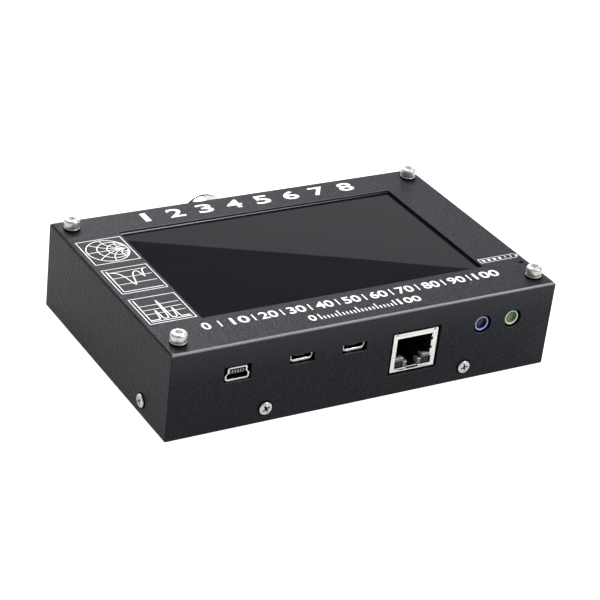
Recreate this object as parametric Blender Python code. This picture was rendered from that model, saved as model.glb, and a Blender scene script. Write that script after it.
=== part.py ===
# Handheld antenna analyzer: a flat sheet-metal case round a touch display, a main board with its
# sockets along the front wall, a radio board with a coaxial jack in the rear wall, a battery,
# a charger and a rocker switch. Metres, +Z up, +X to the right as the front wall is seen.
# The origin is the centre of the underside.

import math

import bmesh
import bpy
from mathutils import Matrix, Vector

for leftover in list(bpy.data.objects):
    bpy.data.objects.remove(leftover, do_unlink=True)

# Clearances and how finely round shapes are cut
SEAT_GAP = 0.0003            # between pieces that rest on or in each other
FASTENER_GAP = 0.00015       # under a screw head or a washer
OVERRUN = 0.001              # how far a cutter runs past the face it cuts
HOLE_SIDES = 16
SCREW_SIDES = 12             # as many as the cross recess has corners
CAP_SIDES = 18               # a multiple of six, so that hexagons and circles join point to point
BARREL_SIDES = 30
BEND_STEPS = 3
SMOOTH_ANGLE = math.radians(35)

# Case
SHEET = 0.0008               # thickness of both covers
OUTER_BEND = 0.001           # outside radius of the top cover's folds
CORNER_EDGE = 0.0003         # its side walls meet in closed corners
TRAY_BEND = 0.0005           # on the bottom cover's folds
SIDE_ROOM = 0.0115           # from each end of the main board to the outside of the case
FRONT_ROOM = 0.0016          # from the front wall to the main board
REAR_ROOM = 0.0059           # from the main board to the rear wall

# Circuit boards
BOARD_WIDTH = 0.112
BOARD_DEPTH = 0.0774
BOARD_THICK = 0.0016
BOARD_SHIFT = 0.0006         # the main board and the display sit this far right of the middle
RF_BOARD_MARGIN = 0.0013     # from the case walls to the radio board
CHIP_THICK = 0.0012

# Display
GLASS_SIDE_INSET = 0.00325   # glass inside the main board's ends
GLASS_FRONT_INSET = 0.00935
GLASS_REAR_INSET = 0.00085
GLASS_THICK = 0.0014
GLASS_GAP = 0.00015          # under the top sheet
PANEL_THICK = 0.00335
PANEL_INSET = 0.0004         # display panel inside the glass's edges
WINDOW_LAP_SIDE = 0.00275    # how far the top sheet laps over the glass
WINDOW_LAP_END = 0.00485

# Board to board connectors
STRIP_PINS = 16
PIN_PITCH = 0.00254
PIN_SIZE = 0.00064
STRIP_WIDTH = 0.0025
STRIP_SPREAD = 0.024         # from the board's middle to each row
STRIP_REAR_INSET = 0.011
PIN_BASE = 0.0025
SOCKET_HEIGHT = 0.0085
PIN_REACH = 0.006            # how far the pins go up into the sockets

# Battery
BATTERY_LENGTH = 0.070
BATTERY_WIDTH = 0.042
BATTERY_THICK = 0.005
BATTERY_LEFT_INSET = 0.0175  # from the outside of the left wall
BATTERY_SHIFT = 0.004        # behind the middle of the case
BATTERY_EDGE = 0.0012
TAIL_ROOM = 0.0019           # free height between the battery and the radio board

# Levels, from the underside up
FLOOR_TOP = SHEET
RF_LOW = FLOOR_TOP + SEAT_GAP + BATTERY_THICK + TAIL_ROOM
RF_TOP = RF_LOW + BOARD_THICK
MAIN_LOW = RF_TOP + SEAT_GAP + PIN_BASE + SEAT_GAP + SOCKET_HEIGHT + SEAT_GAP
MAIN_TOP = MAIN_LOW + BOARD_THICK
PANEL_LOW = MAIN_TOP + SEAT_GAP
PANEL_TOP = PANEL_LOW + PANEL_THICK
GLASS_LOW = PANEL_TOP + SEAT_GAP
GLASS_TOP = GLASS_LOW + GLASS_THICK
CEILING = GLASS_TOP + GLASS_GAP
TOP = CEILING + SHEET

# Plan of the case and of the main board
CASE_WIDTH = BOARD_WIDTH + 2 * SIDE_ROOM
CASE_DEPTH = BOARD_DEPTH + FRONT_ROOM + REAR_ROOM + 2 * SHEET
LEFT = -CASE_WIDTH / 2
RIGHT = CASE_WIDTH / 2
FRONT = -CASE_DEPTH / 2
REAR = CASE_DEPTH / 2
BOARD_LEFT = BOARD_SHIFT - BOARD_WIDTH / 2
BOARD_RIGHT = BOARD_SHIFT + BOARD_WIDTH / 2
BOARD_FRONT = FRONT + SHEET + FRONT_ROOM
BOARD_REAR = REAR - SHEET - REAR_ROOM
BOARD_MIDDLE = (BOARD_FRONT + BOARD_REAR) / 2
GLASS_LEFT = BOARD_LEFT + GLASS_SIDE_INSET
GLASS_RIGHT = BOARD_RIGHT - GLASS_SIDE_INSET
GLASS_FRONT = BOARD_FRONT + GLASS_FRONT_INSET
GLASS_REAR = BOARD_REAR - GLASS_REAR_INSET

# Corner standoffs and the screws through the top
STANDOFF_FLATS = 0.0055
STANDOFF_SIDE_GAP = 0.00135  # from a flat of the standoff to the side wall
STANDOFF_END_GAP = 0.0019    # from a corner of the standoff to the front or rear wall
CAP_SCREW_RADIUS = 0.0015
CAP_HEAD_RADIUS = 0.00285
CAP_HEAD_HEIGHT = 0.0029
CAP_HEAD_EDGE = 0.0004
CAP_SOCKET_FLATS = 0.0025
CAP_SOCKET_DEPTH = 0.0016
CAP_SCREW_REACH = 0.008      # thread below the top sheet
WASHER_RADIUS = 0.003
WASHER_THICK = 0.0006
STANDOFF_POINT = STANDOFF_FLATS / math.sqrt(3)
POST_X = CASE_WIDTH / 2 - SHEET - STANDOFF_SIDE_GAP - STANDOFF_FLATS / 2
POST_Y = CASE_DEPTH / 2 - SHEET - STANDOFF_END_GAP - STANDOFF_POINT

# Small pan-head screws in the walls and under the radio board
PAN_SCREW_RADIUS = 0.00125
PAN_HEAD_RADIUS = 0.00225
PAN_HEAD_HEIGHT = 0.0007
PAN_CROWN_SHARES = ((0.66, 0.97), (0.9, 0.7), (1.0, 0.28), (1.0, 0.0))  # radius, height
CROSS_LENGTH_SHARE = 0.58    # of the head's radius, each arm
CROSS_WIDTH_SHARE = 0.14
CROSS_DEPTH_SHARE = 0.6      # of the head's height
SIDE_SCREW_LENGTH = 0.005
SIDE_SCREW_LEVEL = 0.0049    # above the underside
END_SCREW_LEFT = 0.0328      # left screw of the front and rear walls, from the left side
END_SCREW_RIGHT = 0.0313     # right screw of those walls, from the right side
WALL_SCREW_FRONT = 0.01635   # screw of each side wall, from the front
BOARD_SCREW_LENGTH = 0.006

# Bottom cover's upturned edges
FLANGE_EDGE = 0.002          # above the side screws
FLANGE_TOP = SIDE_SCREW_LEVEL + FLANGE_EDGE
FLANGE_END = 0.0045          # the flanges stop this far from the standoffs' axes

# Sockets along the front, and the free length of the board's edge to the left of each one
SOCKET_GAP_SHARES = (0.1026, 0.2313, 0.1726, 0.1677, 0.2208, 0.0875)
SHELL_SEAT = 0.0005          # small sockets hang this far below the main board
SHELL_WALL = 0.0003
CUT_MARGIN = 0.0004          # wall opening round a socket
MINI_HEIGHT = 0.004
MINI_HALF_TOP = 0.00335
MINI_HALF_WIDE = 0.0038
MINI_LENGTH = 0.009
MINI_RECESS = 0.0002
MICRO_HEIGHT = 0.00245
MICRO_HALF_WIDE = 0.00375
MICRO_HALF_NARROW = 0.0028
MICRO_LENGTH = 0.0055
MICRO_RECESS = 0.001
MICRO_CUT_SIDE = 0.00045
TONGUE_THICK = 0.0006
TONGUE_RECESS = 0.0008       # tip of the tongue behind the socket's mouth
SOCKET_BLOCK_SHARE = 0.3     # solid rear of an insert, as a share of its socket's length
ETHERNET_WIDTH = 0.016
ETHERNET_HEIGHT = 0.01337
ETHERNET_LENGTH = 0.0213
ETHERNET_RECESS = 0.0003
ETHERNET_CUT = 0.0007
ETHERNET_RIM_SIDE = 0.0016
ETHERNET_RIM_LOW = 0.001
ETHERNET_CAVITY_HALF = 0.0061
ETHERNET_CAVITY_DEPTH = 0.013
LATCH_HALF = 0.0023          # the narrow slot for the plug's latch
LATCH_HEIGHT = 0.0016
SHOULDER_HALF = 0.0037       # the step above it
SHOULDER_HEIGHT = 0.0032
CONTACTS = 8
CONTACT_PITCH = 0.00102
CONTACT_SIZE = 0.00035
CONTACT_FALL = 0.0018        # how far the contacts slope down
CONTACT_BAR = 0.0012
LINE_DROP = 0.00237          # jack axis below the main board
LINE_NOSE_RADIUS = 0.0025
LINE_BORE_RADIUS = 0.0018
LINE_BORE_DEPTH = 0.012
LINE_HOLE_RADIUS = 0.00315
LINE_RECESS = 0.0006
LINE_BODY_HALF = 0.003
LINE_BODY_LENGTH = 0.0125

# Coaxial jack in the rear wall
JACK_SHIFT = 0.002           # left of the middle
JACK_RISE = 0.0027           # axis above the radio board
JACK_REACH = 0.0205          # from the rear wall to the rim
JACK_THREAD_RADIUS = 0.0079
JACK_RIM_EDGE = 0.0007
JACK_BORE_RADIUS = 0.0042
JACK_BORE_DEPTH = 0.009
JACK_CORE_RADIUS = 0.0034
JACK_COLLAR_FLATS = 0.0175   # hexagon inside the wall
JACK_COLLAR_THICK = 0.002
JACK_NUT_FLATS = 0.019
JACK_NUT_THICK = 0.003
JACK_PIN_RADIUS = 0.0015
JACK_PIN_BORE = 0.0008
JACK_PIN_RECESS = 0.005      # tip behind the rim
JACK_PIN_TAIL = 0.0067       # solder end inside the rear wall
JACK_PAD_WIDTH = 0.003       # pad of the radio board under the pin's tail
JACK_PAD_DEPTH = 0.0035
JACK_NOTCH_GAP = 0.0005      # round the collar

# Charger and its lamp
CHARGER_WIDTH = 0.018
CHARGER_DEPTH = 0.022
CHARGER_THICK = 0.001
CHARGER_RISE = 0.002         # above the radio board
CHARGER_WALL_GAP = 0.0016
CHARGER_FRONT = 0.01225      # from the front of the case
CHARGE_SOCKET_BACK = 0.011   # socket's middle behind the charger's front edge
CHARGE_SOCKET_RECESS = 0.0005
CHARGER_LEG = 0.0012
CHARGER_LEG_INSET = 0.0015
LAMP_RADIUS = 0.0009
LAMP_FLANGE = 0.0012
LAMP_HEIGHT = 0.0032
LAMP_HOLE = 0.001
LAMP_FROM_SIDE = 0.00305
LAMP_FROM_FRONT = 0.0153
LAMP_LEG = 0.00045
LAMP_LEG_SPREAD = 0.0006

# Rocker switch in the right wall
SWITCH_BACK = 0.01           # its middle behind the middle of the case
SWITCH_LIFT = 0.006          # its middle above the radio board
SWITCH_LENGTH = 0.015
SWITCH_HEIGHT = 0.0105
SWITCH_RIM_THICK = 0.0014
SWITCH_LAP = 0.001           # rim outside the wall opening
SWITCH_DEPTH = 0.0105
SWITCH_WALL = 0.0008
ROCKER_TILT = math.radians(8)
ROCKER_CROWN = 0.0016        # ridge of the rocker outside the wall
ROCKER_END_GAP = 0.0005
ROCKER_SKIRT = 0.0042        # from the pivot to the underside
ROCKER_FOOT_SHARE = 0.62
ROCKER_PIN_RADIUS = 0.0009
ROCKER_PIN_REACH = 0.0005    # pin into the housing's side
TERMINAL_LENGTH = 0.006
TERMINAL_WIDTH = 0.003
TERMINAL_THICK = 0.0006
TERMINAL_SPREAD = 0.0034
SWITCH_LEAD_RADIUS = 0.0007

# Push buttons and memory card under the main board
BUTTON_BODY = 0.006
BUTTON_HEIGHT = 0.0035
BUTTON_RADIUS = 0.0017
BUTTON_REACH = 0.0012        # plunger below the button's body
BUTTON_TRAVEL_ROOM = 0.0009
BUTTON_COLLAR = 0.0004       # wider ring that keeps the plunger in its body
BUTTON_COLLAR_THICK = 0.0005
BUTTON_INSET = 0.0114        # from the board's left end
BUTTON_BACK = 0.0105         # first button behind the board's middle
BUTTON_PITCH = 0.0125
CARD_SOCKET_WIDTH = 0.0145
CARD_SOCKET_DEPTH = 0.015
CARD_SOCKET_HEIGHT = 0.0019
CARD_SOCKET_INSET = 0.001
CARD_SOCKET_BACK = -0.0065   # middle of the socket from the board's middle

# Display ribbon and its connector
RIBBON_WIDTH = 0.022
RIBBON_THICK = 0.00025
RIBBON_RADIUS = 0.0021
RIBBON_LEVEL = 0.0012        # where it leaves the panel, above the panel's underside
RIBBON_STEPS = 10
RIBBON_SOCKET_DEPTH = 0.0045
RIBBON_SOCKET_HEIGHT = 0.0014
RIBBON_SOCKET_INSET = 0.002

# Radio board's metal can
CAN_WIDTH = 0.034
CAN_DEPTH = 0.027
CAN_REAR_INSET = 0.0105      # from the rear of the case
CAN_WALL = 0.0005
CAN_HEIGHT = 0.0052

# Battery plug and leads
PLUG_HEIGHT = 0.0045
PLUG_WIDTH = 0.0079
PLUG_LENGTH = 0.0045
PLUG_SOCKET_LENGTH = 0.006
PLUG_DISTANCE = 0.009        # from the battery to the plug
LEAD_RADIUS = 0.0006
LEAD_SPREAD = 0.001
LEAD_SAG = 0.0008
LEAD_STEPS = 8

# Places of the chips: middle x, middle y, width and depth, as shares of their board's size
MAIN_CHIP_SHARES = (
    (0.05, 0.07, 0.116, 0.168),
    (-0.105, 0.07, 0.10, 0.125),
    (0.05, 0.235, 0.054, 0.065),
    (0.39, -0.20, 0.0625, 0.09),
    (0.145, -0.155, 0.045, 0.065),
    (-0.405, -0.285, 0.0625, 0.09),
    (-0.305, -0.285, 0.045, 0.042),
    (-0.33, -0.10, 0.036, 0.045),
)
RF_CHIP_SHARES = (
    (-0.085, 0.30, 0.04, 0.06),
    (0.03, 0.17, 0.055, 0.085),
    (-0.075, 0.13, 0.03, 0.05),
    (-0.34, 0.10, 0.055, 0.085),
    (-0.36, -0.14, 0.04, 0.06),
    (0.29, 0.32, 0.045, 0.06),
)


def point(axis, across, up, along):
    # A point from its place in the plane across an axis and its place along that axis
    if axis == "X":
        return Vector((along, across, up))
    if axis == "Y":
        return Vector((across, along, up))
    return Vector((across, up, along))


def circle(radius, sides, centre=(0, 0), share=0.0):
    # share turns the polygon by that part of one side
    outline = []
    for index in range(sides):
        angle = 2 * math.pi * (index + share) / sides
        outline.append((centre[0] + radius * math.cos(angle), centre[1] + radius * math.sin(angle)))
    return outline


def hexagon(flats, sides, centre=(0, 0)):
    # A hexagon of a given width across flats, with flats above and below, cut into equal steps
    corners = circle(flats / math.sqrt(3), 6, centre)
    steps = sides // 6
    outline = []
    for corner, following in zip(corners, corners[1:] + corners[:1]):
        for step in range(steps):
            share = step / steps
            across = corner[0] + share * (following[0] - corner[0])
            up = corner[1] + share * (following[1] - corner[1])
            outline.append((across, up))
    return outline


def rectangle(low_a, high_a, low_b, high_b):
    return [(low_a, low_b), (high_a, low_b), (high_a, high_b), (low_a, high_b)]


def rounded(half_a, half_b, radius, steps, centre=(0, 0)):
    outline = []
    for quarter, (sign_a, sign_b) in enumerate(((1, 1), (-1, 1), (-1, -1), (1, -1))):
        for step in range(steps + 1):
            angle = (quarter + step / steps) * math.pi / 2
            across = centre[0] + sign_a * (half_a - radius) + radius * math.cos(angle)
            up = centre[1] + sign_b * (half_b - radius) + radius * math.sin(angle)
            outline.append((across, up))
    return outline


def mirrored(half, centre):
    other = [(-across, up) for across, up in reversed(half)]
    return [(centre[0] + across, centre[1] + up) for across, up in half + other]


def box(shape, low, high):
    low = Vector(low)
    high = Vector(high)
    size = high - low
    place = Matrix.Translation((low + high) / 2) @ Matrix.Diagonal((size.x, size.y, size.z, 1))
    bmesh.ops.create_cube(shape, size=1, matrix=place)


def skin(shape, axis, rings, closed=False):
    # Joins outlines of equal length, each at its place along the axis. A closed skin runs back
    # to its first outline, as round a bore, and any other is capped at both ends.
    loops = []
    for outline, along in rings:
        loops.append([shape.verts.new(point(axis, across, up, along)) for across, up in outline])
    pairs = list(zip(loops, loops[1:]))
    if closed:
        pairs.append((loops[-1], loops[0]))
    else:
        shape.faces.new(loops[0])
        shape.faces.new(loops[-1])
    for loop, following in pairs:
        for index in range(len(loop)):
            after = (index + 1) % len(loop)
            shape.faces.new((loop[index], loop[after], following[after], following[index]))


def prism(shape, axis, outline, low, high):
    skin(shape, axis, [(outline, low), (outline, high)])


def tube(shape, axis, outer, inner, low, high):
    skin(shape, axis, [(outer, low), (outer, high), (inner, high), (inner, low)], closed=True)


def turned(shape, axis, centre, profile, sides, closed=False):
    skin(shape, axis, [(circle(radius, sides, centre), along) for radius, along in profile], closed)


def finish(name, colour, roughness, metallic=0.0):
    surface = bpy.data.materials.new(name)
    surface.use_nodes = True
    shader = surface.node_tree.nodes["Principled BSDF"]
    shader.inputs["Base Color"].default_value = (*colour, 1)
    shader.inputs["Roughness"].default_value = roughness
    shader.inputs["Metallic"].default_value = metallic
    surface.diffuse_color = (*colour, 1)
    return surface


def piece(name, shape, surface, smooth=False, origin=None):
    bmesh.ops.recalc_face_normals(shape, faces=shape.faces)
    mesh = bpy.data.meshes.new(name)
    shape.to_mesh(mesh)
    shape.free()
    if smooth:
        mesh.shade_smooth()
        mesh.set_sharp_from_angle(angle=SMOOTH_ANGLE)
    mesh.materials.append(surface)
    made = bpy.data.objects.new(name, mesh)
    bpy.context.scene.collection.objects.link(made)
    if origin is not None:
        mesh.transform(Matrix.Translation(-origin))
        made.location = origin
    return made


def combine(target, name, shape, operation):
    # The cutter or the added shape stays in the file as a guide
    bmesh.ops.recalc_face_normals(shape, faces=shape.faces)
    mesh = bpy.data.meshes.new(name)
    shape.to_mesh(mesh)
    shape.free()
    guide = bpy.data.objects.new(name, mesh)
    bpy.context.scene.collection.objects.link(guide)
    guide.hide_render = True
    guide.display_type = "WIRE"
    guide.location = target.location
    mesh.transform(Matrix.Translation(-target.location))
    step = target.modifiers.new(name, "BOOLEAN")
    step.operation = operation
    step.solver = "EXACT"
    step.object = guide


def soften(target, width, steps):
    edge = target.modifiers.new("edge", "BEVEL")
    edge.width = width
    edge.segments = steps
    edge.limit_method = "ANGLE"


def wire(name, points, radius, surface):
    curve = bpy.data.curves.new(name, "CURVE")
    curve.dimensions = "3D"
    curve.bevel_depth = radius
    curve.bevel_resolution = 2
    curve.use_fill_caps = True
    curve.render_resolution_u = 0
    line = curve.splines.new("POLY")
    line.points.add(len(points) - 1)
    for spot, place in zip(line.points, points):
        spot.co = (*place, 1)
    curve.materials.append(surface)
    made = bpy.data.objects.new(name, curve)
    bpy.context.scene.collection.objects.link(made)
    return made


def bent_path(start, corner, end, steps):
    # A smooth curve that leaves start towards corner and comes from corner into end
    path = []
    for step in range(steps + 1):
        share = step / steps
        first = start.lerp(corner, share)
        second = corner.lerp(end, share)
        path.append(first.lerp(second, share))
    return path


BLACK_PAINT = finish("black_paint", (0.035, 0.036, 0.039), 0.55)
STEEL = finish("polished_steel", (0.72, 0.71, 0.69), 0.25, 1.0)
TINNED = finish("tinned_shell", (0.75, 0.73, 0.70), 0.3, 1.0)
NICKEL = finish("nickel_plating", (0.78, 0.77, 0.75), 0.18, 1.0)
GOLD = finish("gold_plating", (0.83, 0.61, 0.26), 0.25, 1.0)
BRASS = finish("brass", (0.72, 0.55, 0.28), 0.3, 1.0)
DARK_GLASS = finish("display_glass", (0.012, 0.012, 0.014), 0.05)
PANEL_GREY = finish("display_back", (0.30, 0.31, 0.32), 0.5)
BOARD_BLUE = finish("main_board_resist", (0.02, 0.05, 0.12), 0.45)
BOARD_BLACK = finish("radio_board_resist", (0.02, 0.02, 0.022), 0.45)
BLACK_PLASTIC = finish("black_plastic", (0.02, 0.02, 0.021), 0.5)
WHITE_PLASTIC = finish("white_plastic", (0.80, 0.79, 0.75), 0.45)
PTFE = finish("white_insulator", (0.88, 0.88, 0.86), 0.4)
JACK_BLUE = finish("blue_jack_plastic", (0.22, 0.25, 0.62), 0.4)
JACK_GREEN = finish("green_jack_plastic", (0.62, 0.83, 0.45), 0.4)
BUTTON_BLUE = finish("blue_button", (0.05, 0.15, 0.5), 0.4)
CELL_SILVER = finish("battery_foil", (0.62, 0.63, 0.65), 0.35, 0.6)
RED_LEAD = finish("red_insulation", (0.55, 0.03, 0.02), 0.45)
BLACK_LEAD = finish("black_insulation", (0.02, 0.02, 0.02), 0.45)
RIBBON_AMBER = finish("ribbon_film", (0.55, 0.30, 0.08), 0.35)
LAMP_RED = finish("lamp_lens", (0.60, 0.05, 0.04), 0.15)



def socket_places():
    # The middles of the sockets along the board's front edge, from left to right
    widths = (
        2 * MINI_HALF_WIDE,
        2 * MICRO_HALF_WIDE,
        2 * MICRO_HALF_WIDE,
        ETHERNET_WIDTH,
        2 * LINE_BODY_HALF,
        2 * LINE_BODY_HALF,
    )
    free = BOARD_WIDTH - sum(widths)
    places = []
    edge = BOARD_LEFT
    for share, width in zip(SOCKET_GAP_SHARES, widths):
        edge += share * free
        places.append(edge + width / 2)
        edge += width
    return places


MINI_X, MICRO_LEFT_X, MICRO_RIGHT_X, ETHERNET_X, LINE_IN_X, LINE_OUT_X = socket_places()
MICRO_XS = (MICRO_LEFT_X, MICRO_RIGHT_X)
JACK_X = -JACK_SHIFT
JACK_Z = RF_TOP + JACK_RISE
MINI_Z = MAIN_LOW - SHELL_SEAT - MINI_HEIGHT / 2
MICRO_Z = MAIN_LOW - SHELL_SEAT - MICRO_HEIGHT / 2
ETHERNET_TOP = MAIN_LOW - SEAT_GAP
ETHERNET_LOW = ETHERNET_TOP - ETHERNET_HEIGHT
LINE_Z = MAIN_LOW - LINE_DROP
LAMP_X = RIGHT - LAMP_FROM_SIDE
LAMP_Y = FRONT + LAMP_FROM_FRONT
CHARGER_LOW = RF_TOP + CHARGER_RISE
CHARGER_TOP = CHARGER_LOW + CHARGER_THICK
CHARGER_RIGHT = RIGHT - SHEET - CHARGER_WALL_GAP
CHARGE_SOCKET_Y = FRONT + CHARGER_FRONT + CHARGE_SOCKET_BACK
CHARGE_SOCKET_Z = CHARGER_TOP + SEAT_GAP + MICRO_HEIGHT / 2
SWITCH_Z = RF_TOP + SWITCH_LIFT
END_SCREW_XS = (LEFT + END_SCREW_LEFT, RIGHT - END_SCREW_RIGHT)
WALL_SCREW_Y = FRONT + WALL_SCREW_FRONT
PAN_HOLE = PAN_SCREW_RADIUS + SEAT_GAP
CAP_HOLE = CAP_SCREW_RADIUS + SEAT_GAP
BATTERY_LEFT = LEFT + BATTERY_LEFT_INSET
BATTERY_RIGHT = BATTERY_LEFT + BATTERY_LENGTH
PLUG_LEFT = BATTERY_RIGHT + SEAT_GAP + PLUG_DISTANCE
JACK_INSIDE = REAR - SHEET - SEAT_GAP - JACK_COLLAR_THICK
POSTS = {
    "front_left": (-POST_X, -POST_Y),
    "front_right": (POST_X, -POST_Y),
    "rear_left": (-POST_X, POST_Y),
    "rear_right": (POST_X, POST_Y),
}


def mini_outline(shrink=0.0, centre=(0, 0)):
    # Mouth of the larger socket: narrow above, wide below, seen from the front
    top = MINI_HEIGHT / 2 - shrink
    narrow = MINI_HALF_TOP - shrink
    wide = MINI_HALF_WIDE - shrink
    step = MINI_HALF_WIDE - MINI_HALF_TOP
    half = [(narrow, top - step), (narrow, step), (wide, 0), (wide, step - top), (wide - step, -top)]
    half.insert(0, (narrow - step, top))
    return mirrored(half, centre)


def micro_outline(shrink=0.0, centre=(0, 0), flip=1):
    # Mouth of a small socket: full width next to its board, sloping in on the other side
    half_height = MICRO_HEIGHT / 2 - shrink
    wide = MICRO_HALF_WIDE - shrink
    narrow = MICRO_HALF_NARROW - shrink
    half = [(wide, half_height), (wide, 0), (narrow, -half_height)]
    outline = mirrored(half, (0, 0))
    return [(centre[0] + across, centre[1] + flip * up) for across, up in outline]


def front_openings(shape):
    low = FRONT - OVERRUN
    high = FRONT + SHEET + OVERRUN
    mini_half = MINI_HALF_WIDE + CUT_MARGIN
    mini_high = MINI_HEIGHT / 2 + CUT_MARGIN
    prism(shape, "Y", rounded(mini_half, mini_high, CUT_MARGIN, 2, (MINI_X, MINI_Z)), low, high)
    for place in MICRO_XS:
        half = MICRO_HALF_WIDE + MICRO_CUT_SIDE
        tall = MICRO_HEIGHT / 2 + CUT_MARGIN
        prism(shape, "Y", rectangle(place - half, place + half, MICRO_Z - tall, MICRO_Z + tall), low, high)
    half = ETHERNET_WIDTH / 2 + ETHERNET_CUT
    mouth = rectangle(
        ETHERNET_X - half,
        ETHERNET_X + half,
        ETHERNET_LOW - ETHERNET_CUT,
        ETHERNET_TOP + ETHERNET_CUT,
    )
    prism(shape, "Y", mouth, low, high)
    for place in (LINE_IN_X, LINE_OUT_X):
        prism(shape, "Y", circle(LINE_HOLE_RADIUS, HOLE_SIDES, (place, LINE_Z)), low, high)
    for place in END_SCREW_XS:
        prism(shape, "Y", circle(PAN_HOLE, SCREW_SIDES, (place, SIDE_SCREW_LEVEL)), low, high)


def rear_openings(shape):
    low = REAR - SHEET - OVERRUN
    high = REAR + OVERRUN
    for place in END_SCREW_XS:
        prism(shape, "Y", circle(PAN_HOLE, SCREW_SIDES, (place, SIDE_SCREW_LEVEL)), low, high)
    barrel = circle(JACK_THREAD_RADIUS + SEAT_GAP, BARREL_SIDES, (JACK_X, JACK_Z))
    prism(shape, "Y", barrel, low, high)


def side_openings(shape):
    for low, high in ((LEFT - OVERRUN, LEFT + SHEET + OVERRUN), (RIGHT - SHEET - OVERRUN, RIGHT + OVERRUN)):
        hole = circle(PAN_HOLE, SCREW_SIDES, (WALL_SCREW_Y, SIDE_SCREW_LEVEL))
        prism(shape, "X", hole, low, high)
    half = SWITCH_LENGTH / 2 - SWITCH_LAP
    tall = SWITCH_HEIGHT / 2 - SWITCH_LAP
    mouth = rectangle(SWITCH_BACK - half, SWITCH_BACK + half, SWITCH_Z - tall, SWITCH_Z + tall)
    prism(shape, "X", mouth, low, high)
    half = MICRO_HALF_WIDE + CUT_MARGIN
    tall = MICRO_HEIGHT / 2 + CUT_MARGIN
    mouth = rounded(half, tall, CUT_MARGIN, 2, (CHARGE_SOCKET_Y, CHARGE_SOCKET_Z))
    prism(shape, "X", mouth, low, high)


def top_openings(shape):
    low = CEILING - OVERRUN
    high = TOP + OVERRUN
    window = rectangle(
        GLASS_LEFT + WINDOW_LAP_SIDE,
        GLASS_RIGHT - WINDOW_LAP_SIDE,
        GLASS_FRONT + WINDOW_LAP_END,
        GLASS_REAR - WINDOW_LAP_END,
    )
    prism(shape, "Z", window, low, high)
    for post in POSTS.values():
        prism(shape, "Z", circle(CAP_HOLE, HOLE_SIDES, post), low, high)
    prism(shape, "Z", circle(LAMP_HOLE, HOLE_SIDES, (LAMP_X, LAMP_Y)), low, high)


def make_top_cover():
    shell = bmesh.new()
    box(shell, (LEFT, FRONT, SEAT_GAP), (RIGHT, REAR, TOP))
    folds = [edge for edge in shell.edges if min(vert.co.z for vert in edge.verts) > TOP / 2]
    bmesh.ops.bevel(shell, geom=folds, offset=OUTER_BEND, segments=BEND_STEPS, profile=0.5, affect="EDGES")
    corners = [edge for edge in shell.edges if abs(edge.verts[0].co.z - edge.verts[1].co.z) > TOP / 2]
    bmesh.ops.bevel(shell, geom=corners, offset=CORNER_EDGE, segments=1, profile=0.5, affect="EDGES")
    cover = piece("top_cover", shell, BLACK_PAINT, smooth=True)
    hollow = bmesh.new()
    box(hollow, (LEFT + SHEET, FRONT + SHEET, -OVERRUN), (RIGHT - SHEET, REAR - SHEET, CEILING))
    combine(cover, "top_cover_hollow", hollow, "DIFFERENCE")
    openings = bmesh.new()
    front_openings(openings)
    rear_openings(openings)
    side_openings(openings)
    top_openings(openings)
    combine(cover, "top_cover_openings", openings, "DIFFERENCE")


def jack_notch():
    # Half width of the room that the jack's collar takes in the tray and in the radio board
    return JACK_COLLAR_FLATS / math.sqrt(3) + JACK_NOTCH_GAP


def make_bottom_cover():
    side = CASE_WIDTH / 2 - SHEET - SEAT_GAP
    end = CASE_DEPTH / 2 - SHEET - SEAT_GAP
    tray = bmesh.new()
    box(tray, (-side, -end, 0), (side, end, FLANGE_TOP))
    folds = [edge for edge in tray.edges if max(vert.co.z for vert in edge.verts) < FLANGE_TOP / 2]
    bmesh.ops.bevel(tray, geom=folds, offset=TRAY_BEND, segments=1, profile=0.5, affect="EDGES")
    cover = piece("bottom_cover", tray, BLACK_PAINT)
    inside = bmesh.new()
    box(inside, (SHEET - side, SHEET - end, FLOOR_TOP), (side - SHEET, end - SHEET, FLANGE_TOP + OVERRUN))
    combine(cover, "bottom_cover_hollow", inside, "DIFFERENCE")
    gaps = bmesh.new()
    for sign_x, sign_y in ((-1, -1), (-1, 1), (1, -1), (1, 1)):
        inner = (sign_x * (POST_X - FLANGE_END), sign_y * (POST_Y - FLANGE_END))
        outer = (sign_x * (side + OVERRUN), sign_y * (end + OVERRUN))
        low = (min(inner[0], outer[0]), min(inner[1], outer[1]), FLOOR_TOP)
        high = (max(inner[0], outer[0]), max(inner[1], outer[1]), FLANGE_TOP + OVERRUN)
        box(gaps, low, high)
    half = jack_notch()
    low = (JACK_X - half, end - SHEET - OVERRUN, FLOOR_TOP)
    box(gaps, low, (JACK_X + half, end + OVERRUN, FLANGE_TOP + OVERRUN))
    combine(cover, "bottom_cover_gaps", gaps, "DIFFERENCE")
    holes = bmesh.new()
    for sign in (-1, 1):
        low = min(sign * (end - SHEET - OVERRUN), sign * (end + OVERRUN))
        high = max(sign * (end - SHEET - OVERRUN), sign * (end + OVERRUN))
        for place in END_SCREW_XS:
            prism(holes, "Y", circle(PAN_HOLE, SCREW_SIDES, (place, SIDE_SCREW_LEVEL)), low, high)
        low = min(sign * (side - SHEET - OVERRUN), sign * (side + OVERRUN))
        high = max(sign * (side - SHEET - OVERRUN), sign * (side + OVERRUN))
        hole = circle(PAN_HOLE, SCREW_SIDES, (WALL_SCREW_Y, SIDE_SCREW_LEVEL))
        prism(holes, "X", hole, low, high)
    combine(cover, "bottom_cover_holes", holes, "DIFFERENCE")


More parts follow.
